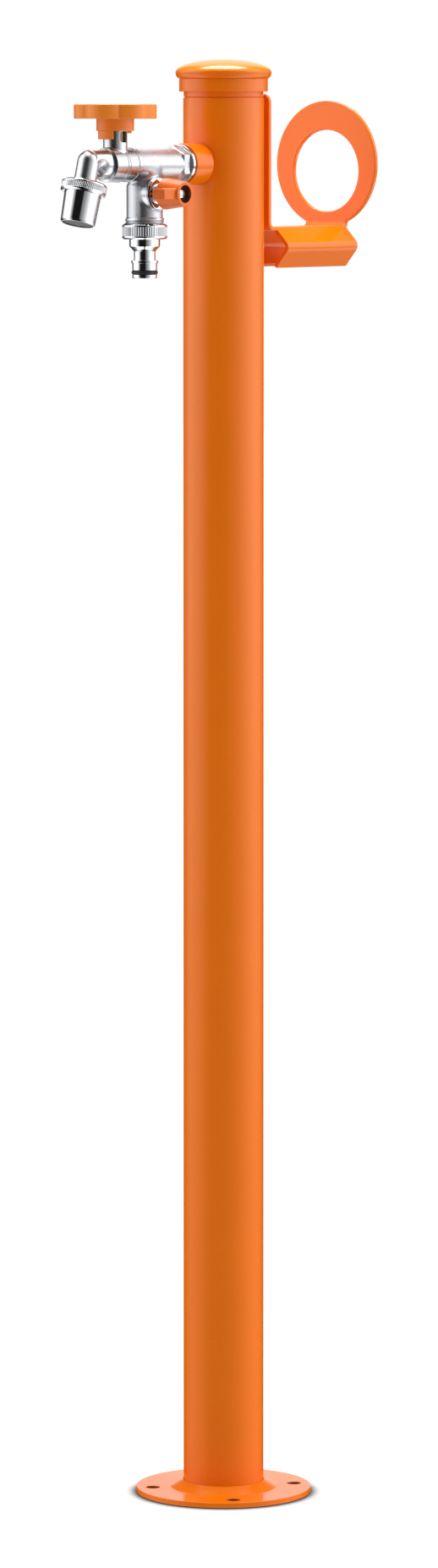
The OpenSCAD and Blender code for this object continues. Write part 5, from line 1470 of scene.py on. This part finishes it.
class WATERPOST_OT_stage(bpy.types.Operator):
    """Set up the studio: world, lamp, floor and camera"""

    bl_idname = "waterpost.stage"
    bl_label = "Studio"

    def execute(self, context):
        """Builds the white studio and the camera of the picture."""
        s = context.scene.waterpost_stage
        self.world(context, s)
        floor = self.floor(s)
        towards = Vector((math.sin(s.azimuth), -math.cos(s.azimuth), 0))
        data = bpy.data.lights.new("overhead_lamp", "AREA")
        data.shape, data.size, data.energy = "DISK", s.lamp_width, s.lamp_power
        lamp = bpy.data.objects.new("overhead_lamp", data)
        context.scene.collection.objects.link(lamp)
        lamp.location = Vector((0, 0, s.lamp_height)) - towards * s.lamp_width / 3
        data = bpy.data.cameras.new("camera")
        data.sensor_width, data.lens = SENSOR, s.lens
        data.shift_x, data.shift_y = s.shift_x, s.shift_y
        data.clip_start, data.clip_end = SEEN_FROM, SEEN_TO
        camera = bpy.data.objects.new("camera", data)
        context.scene.collection.objects.link(camera)
        camera.location = towards * s.distance + Vector((0, 0, s.height))
        camera.rotation_euler = (math.pi / 2 - s.pitch, 0, s.azimuth)
        context.scene.camera = camera
        context.scene.view_settings.view_transform = "Standard"
        return {"FINISHED"}

    def world(self, context, s):
        """White for the camera; for other rays a studio of bright walls, dark panels and a soft ceiling."""
        world = bpy.data.worlds.new("studio")
        context.scene.world = world
        world.use_nodes = True
        tree = Tree(world.node_tree)
        tree.nodes.clear()
        way = tree.add("ShaderNodeTexCoord").outputs["Generated"]
        right = (math.cos(s.azimuth), math.sin(s.azimuth), 0.0)
        towards = (math.sin(s.azimuth), -math.cos(s.azimuth), 0.0)
        across, near = [
            tree.add("ShaderNodeVectorMath", "DOT_PRODUCT", _0=way, _1=axis).outputs["Value"]
            for axis in (right, towards)
        ]
        place = tree.math("MULTIPLY_ADD", tree.math("ARCTAN2", across, near), 0.5 / math.pi, 0.5)
        walls = ramp(tree, place, [((degrees + 180) / 360, grey) for degrees, grey in WALLS])
        height = tree.add("ShaderNodeSeparateXYZ", Vector=way).outputs[2]
        lower, upper = CEILING_HEIGHTS
        up = tree.add("ShaderNodeMapRange", _0=height, _1=lower, _2=upper, _3=0.0, _4=1.0)
        colour = tree.mix(up, walls, (s.ceiling,) * 3 + (1,))
        ends = zip((-1.0,) + FOOT_HEIGHTS + (1.0,), (1.0, 1.0, s.wall_foot, s.wall_foot, 1.0, 1.0))
        level = tree.math("MULTIPLY_ADD", height, 0.5, 0.5)
        fall = ramp(tree, level, [((z + 1) / 2, part) for z, part in ends])
        room = tree.add("ShaderNodeBackground", Color=colour, Strength=tree.math("MULTIPLY", fall, s.room))
        white = tree.add("ShaderNodeBackground", Color=(1, 1, 1, 1), Strength=1.0)
        seen = tree.add("ShaderNodeLightPath").outputs["Is Camera Ray"]
        both = tree.add("ShaderNodeMixShader", _0=seen, _1=room, _2=white)
        tree.add("ShaderNodeOutputWorld", Surface=both)

    def floor(self, s):
        """A wide floor that the camera sees as white, with the post's shadow and a painted contact shade on
        it.

        Diffuse rays see it glow evenly, and glossy rays pass through it to the walls' foot.
        """
        reach = s.floor_reach
        mesh = bpy.data.meshes.new("floor")
        corners = [(-reach, -reach, 0), (reach, -reach, 0), (reach, reach, 0), (-reach, reach, 0)]
        mesh.from_pydata(corners, [], [range(4)])
        floor = bpy.data.objects.new("floor", mesh)
        bpy.context.scene.collection.objects.link(floor)
        floor.location = (0, 0, -s.floor_drop)
        material = bpy.data.materials.new("floor")
        material.use_nodes = True
        tree = Tree(material.node_tree)
        tree.nodes.clear()
        rays = tree.add("ShaderNodeLightPath").outputs
        matt = tree.add("ShaderNodeBsdfDiffuse", Color=tuple(s.floor) + (1,))
        lift = tree.math("MULTIPLY", rays["Is Camera Ray"], s.floor_lift)
        glow = tree.add("ShaderNodeEmission", Color=(1, 1, 1, 1), Strength=lift)
        whole = tree.add("ShaderNodeAddShader", _0=matt, _1=glow)
        clear = tree.add("ShaderNodeBsdfTransparent")
        dull = tree.add("ShaderNodeEmission", Color=(1, 1, 1, 1), Strength=s.floor_bounce)
        unseen = tree.add("ShaderNodeMixShader", _0=rays["Is Glossy Ray"], _1=dull, _2=clear)
        # Painted contact shade: the floor is mixed towards the contact colour where occlusion is near
        open_sky = tree.add("ShaderNodeAmbientOcclusion", Distance=s.contact).outputs["AO"]
        light = tree.math("POWER", open_sky, s.contact_depth)
        shade = tree.add("ShaderNodeBsdfDiffuse", Color=tuple(s.contact_colour) + (1,))
        edge = tree.add("ShaderNodeMixShader", _0=light, _1=shade, _2=whole)
        both = tree.add("ShaderNodeMixShader", _0=rays["Is Camera Ray"], _1=unseen, _2=edge)
        tree.add("ShaderNodeOutputMaterial", Surface=both)
        mesh.materials.append(material)
        return floor


PIECES = (
    WATERPOST_OT_flange, WATERPOST_OT_post, WATERPOST_OT_hook, WATERPOST_OT_rings, WATERPOST_OT_tap,
    WATERPOST_OT_valve, WATERPOST_OT_spout, WATERPOST_OT_aerator, WATERPOST_OT_connector,
    WATERPOST_OT_handwheel, WATERPOST_OT_knob, WATERPOST_OT_finishes, WATERPOST_OT_stage,
)


class WATERPOST_PT_panel(bpy.types.Panel):
    """The water post's pieces and their sizes"""

    bl_idname = "WATERPOST_PT_panel"
    bl_label = "Garden Water Post"
    bl_space_type = "VIEW_3D"
    bl_region_type = "UI"
    bl_category = "Water Post"

    def draw(self, context):
        """Lists the operators, then the sizes and colours of each group."""
        for kind in PIECES:
            self.layout.operator(kind.bl_idname)
        for name, group in GROUPS.items():
            box = self.layout.box()
            box.label(text=group.__doc__)
            for prop in group.__annotations__:
                box.prop(getattr(context.scene, name), prop)


GROUPS = {
    "waterpost_colours": WaterpostColours, "waterpost_post": WaterpostPost, "waterpost_tap": WaterpostTap,
    "waterpost_fittings": WaterpostFittings, "waterpost_handles": WaterpostHandles,
    "waterpost_stage": WaterpostStage,
}


def register():
    """Registers the groups, the operators and the panel."""
    for name, group in GROUPS.items():
        bpy.utils.register_class(group)
        setattr(bpy.types.Scene, name, bpy.props.PointerProperty(type=group))
    for kind in PIECES + (WATERPOST_PT_panel,):
        bpy.utils.register_class(kind)


def unregister():
    """Removes the panel, the operators and the groups."""
    for kind in reversed(PIECES + (WATERPOST_PT_panel,)):
        bpy.utils.unregister_class(kind)
    for name, group in reversed(GROUPS.items()):
        delattr(bpy.types.Scene, name)
        bpy.utils.unregister_class(group)


def main():
    """Builds every piece and the studio."""
    register()
    for kind in PIECES:
        group, name = kind.bl_idname.split(".")
        getattr(getattr(bpy.ops, group), name)()


if __name__ == "__main__":
    main()
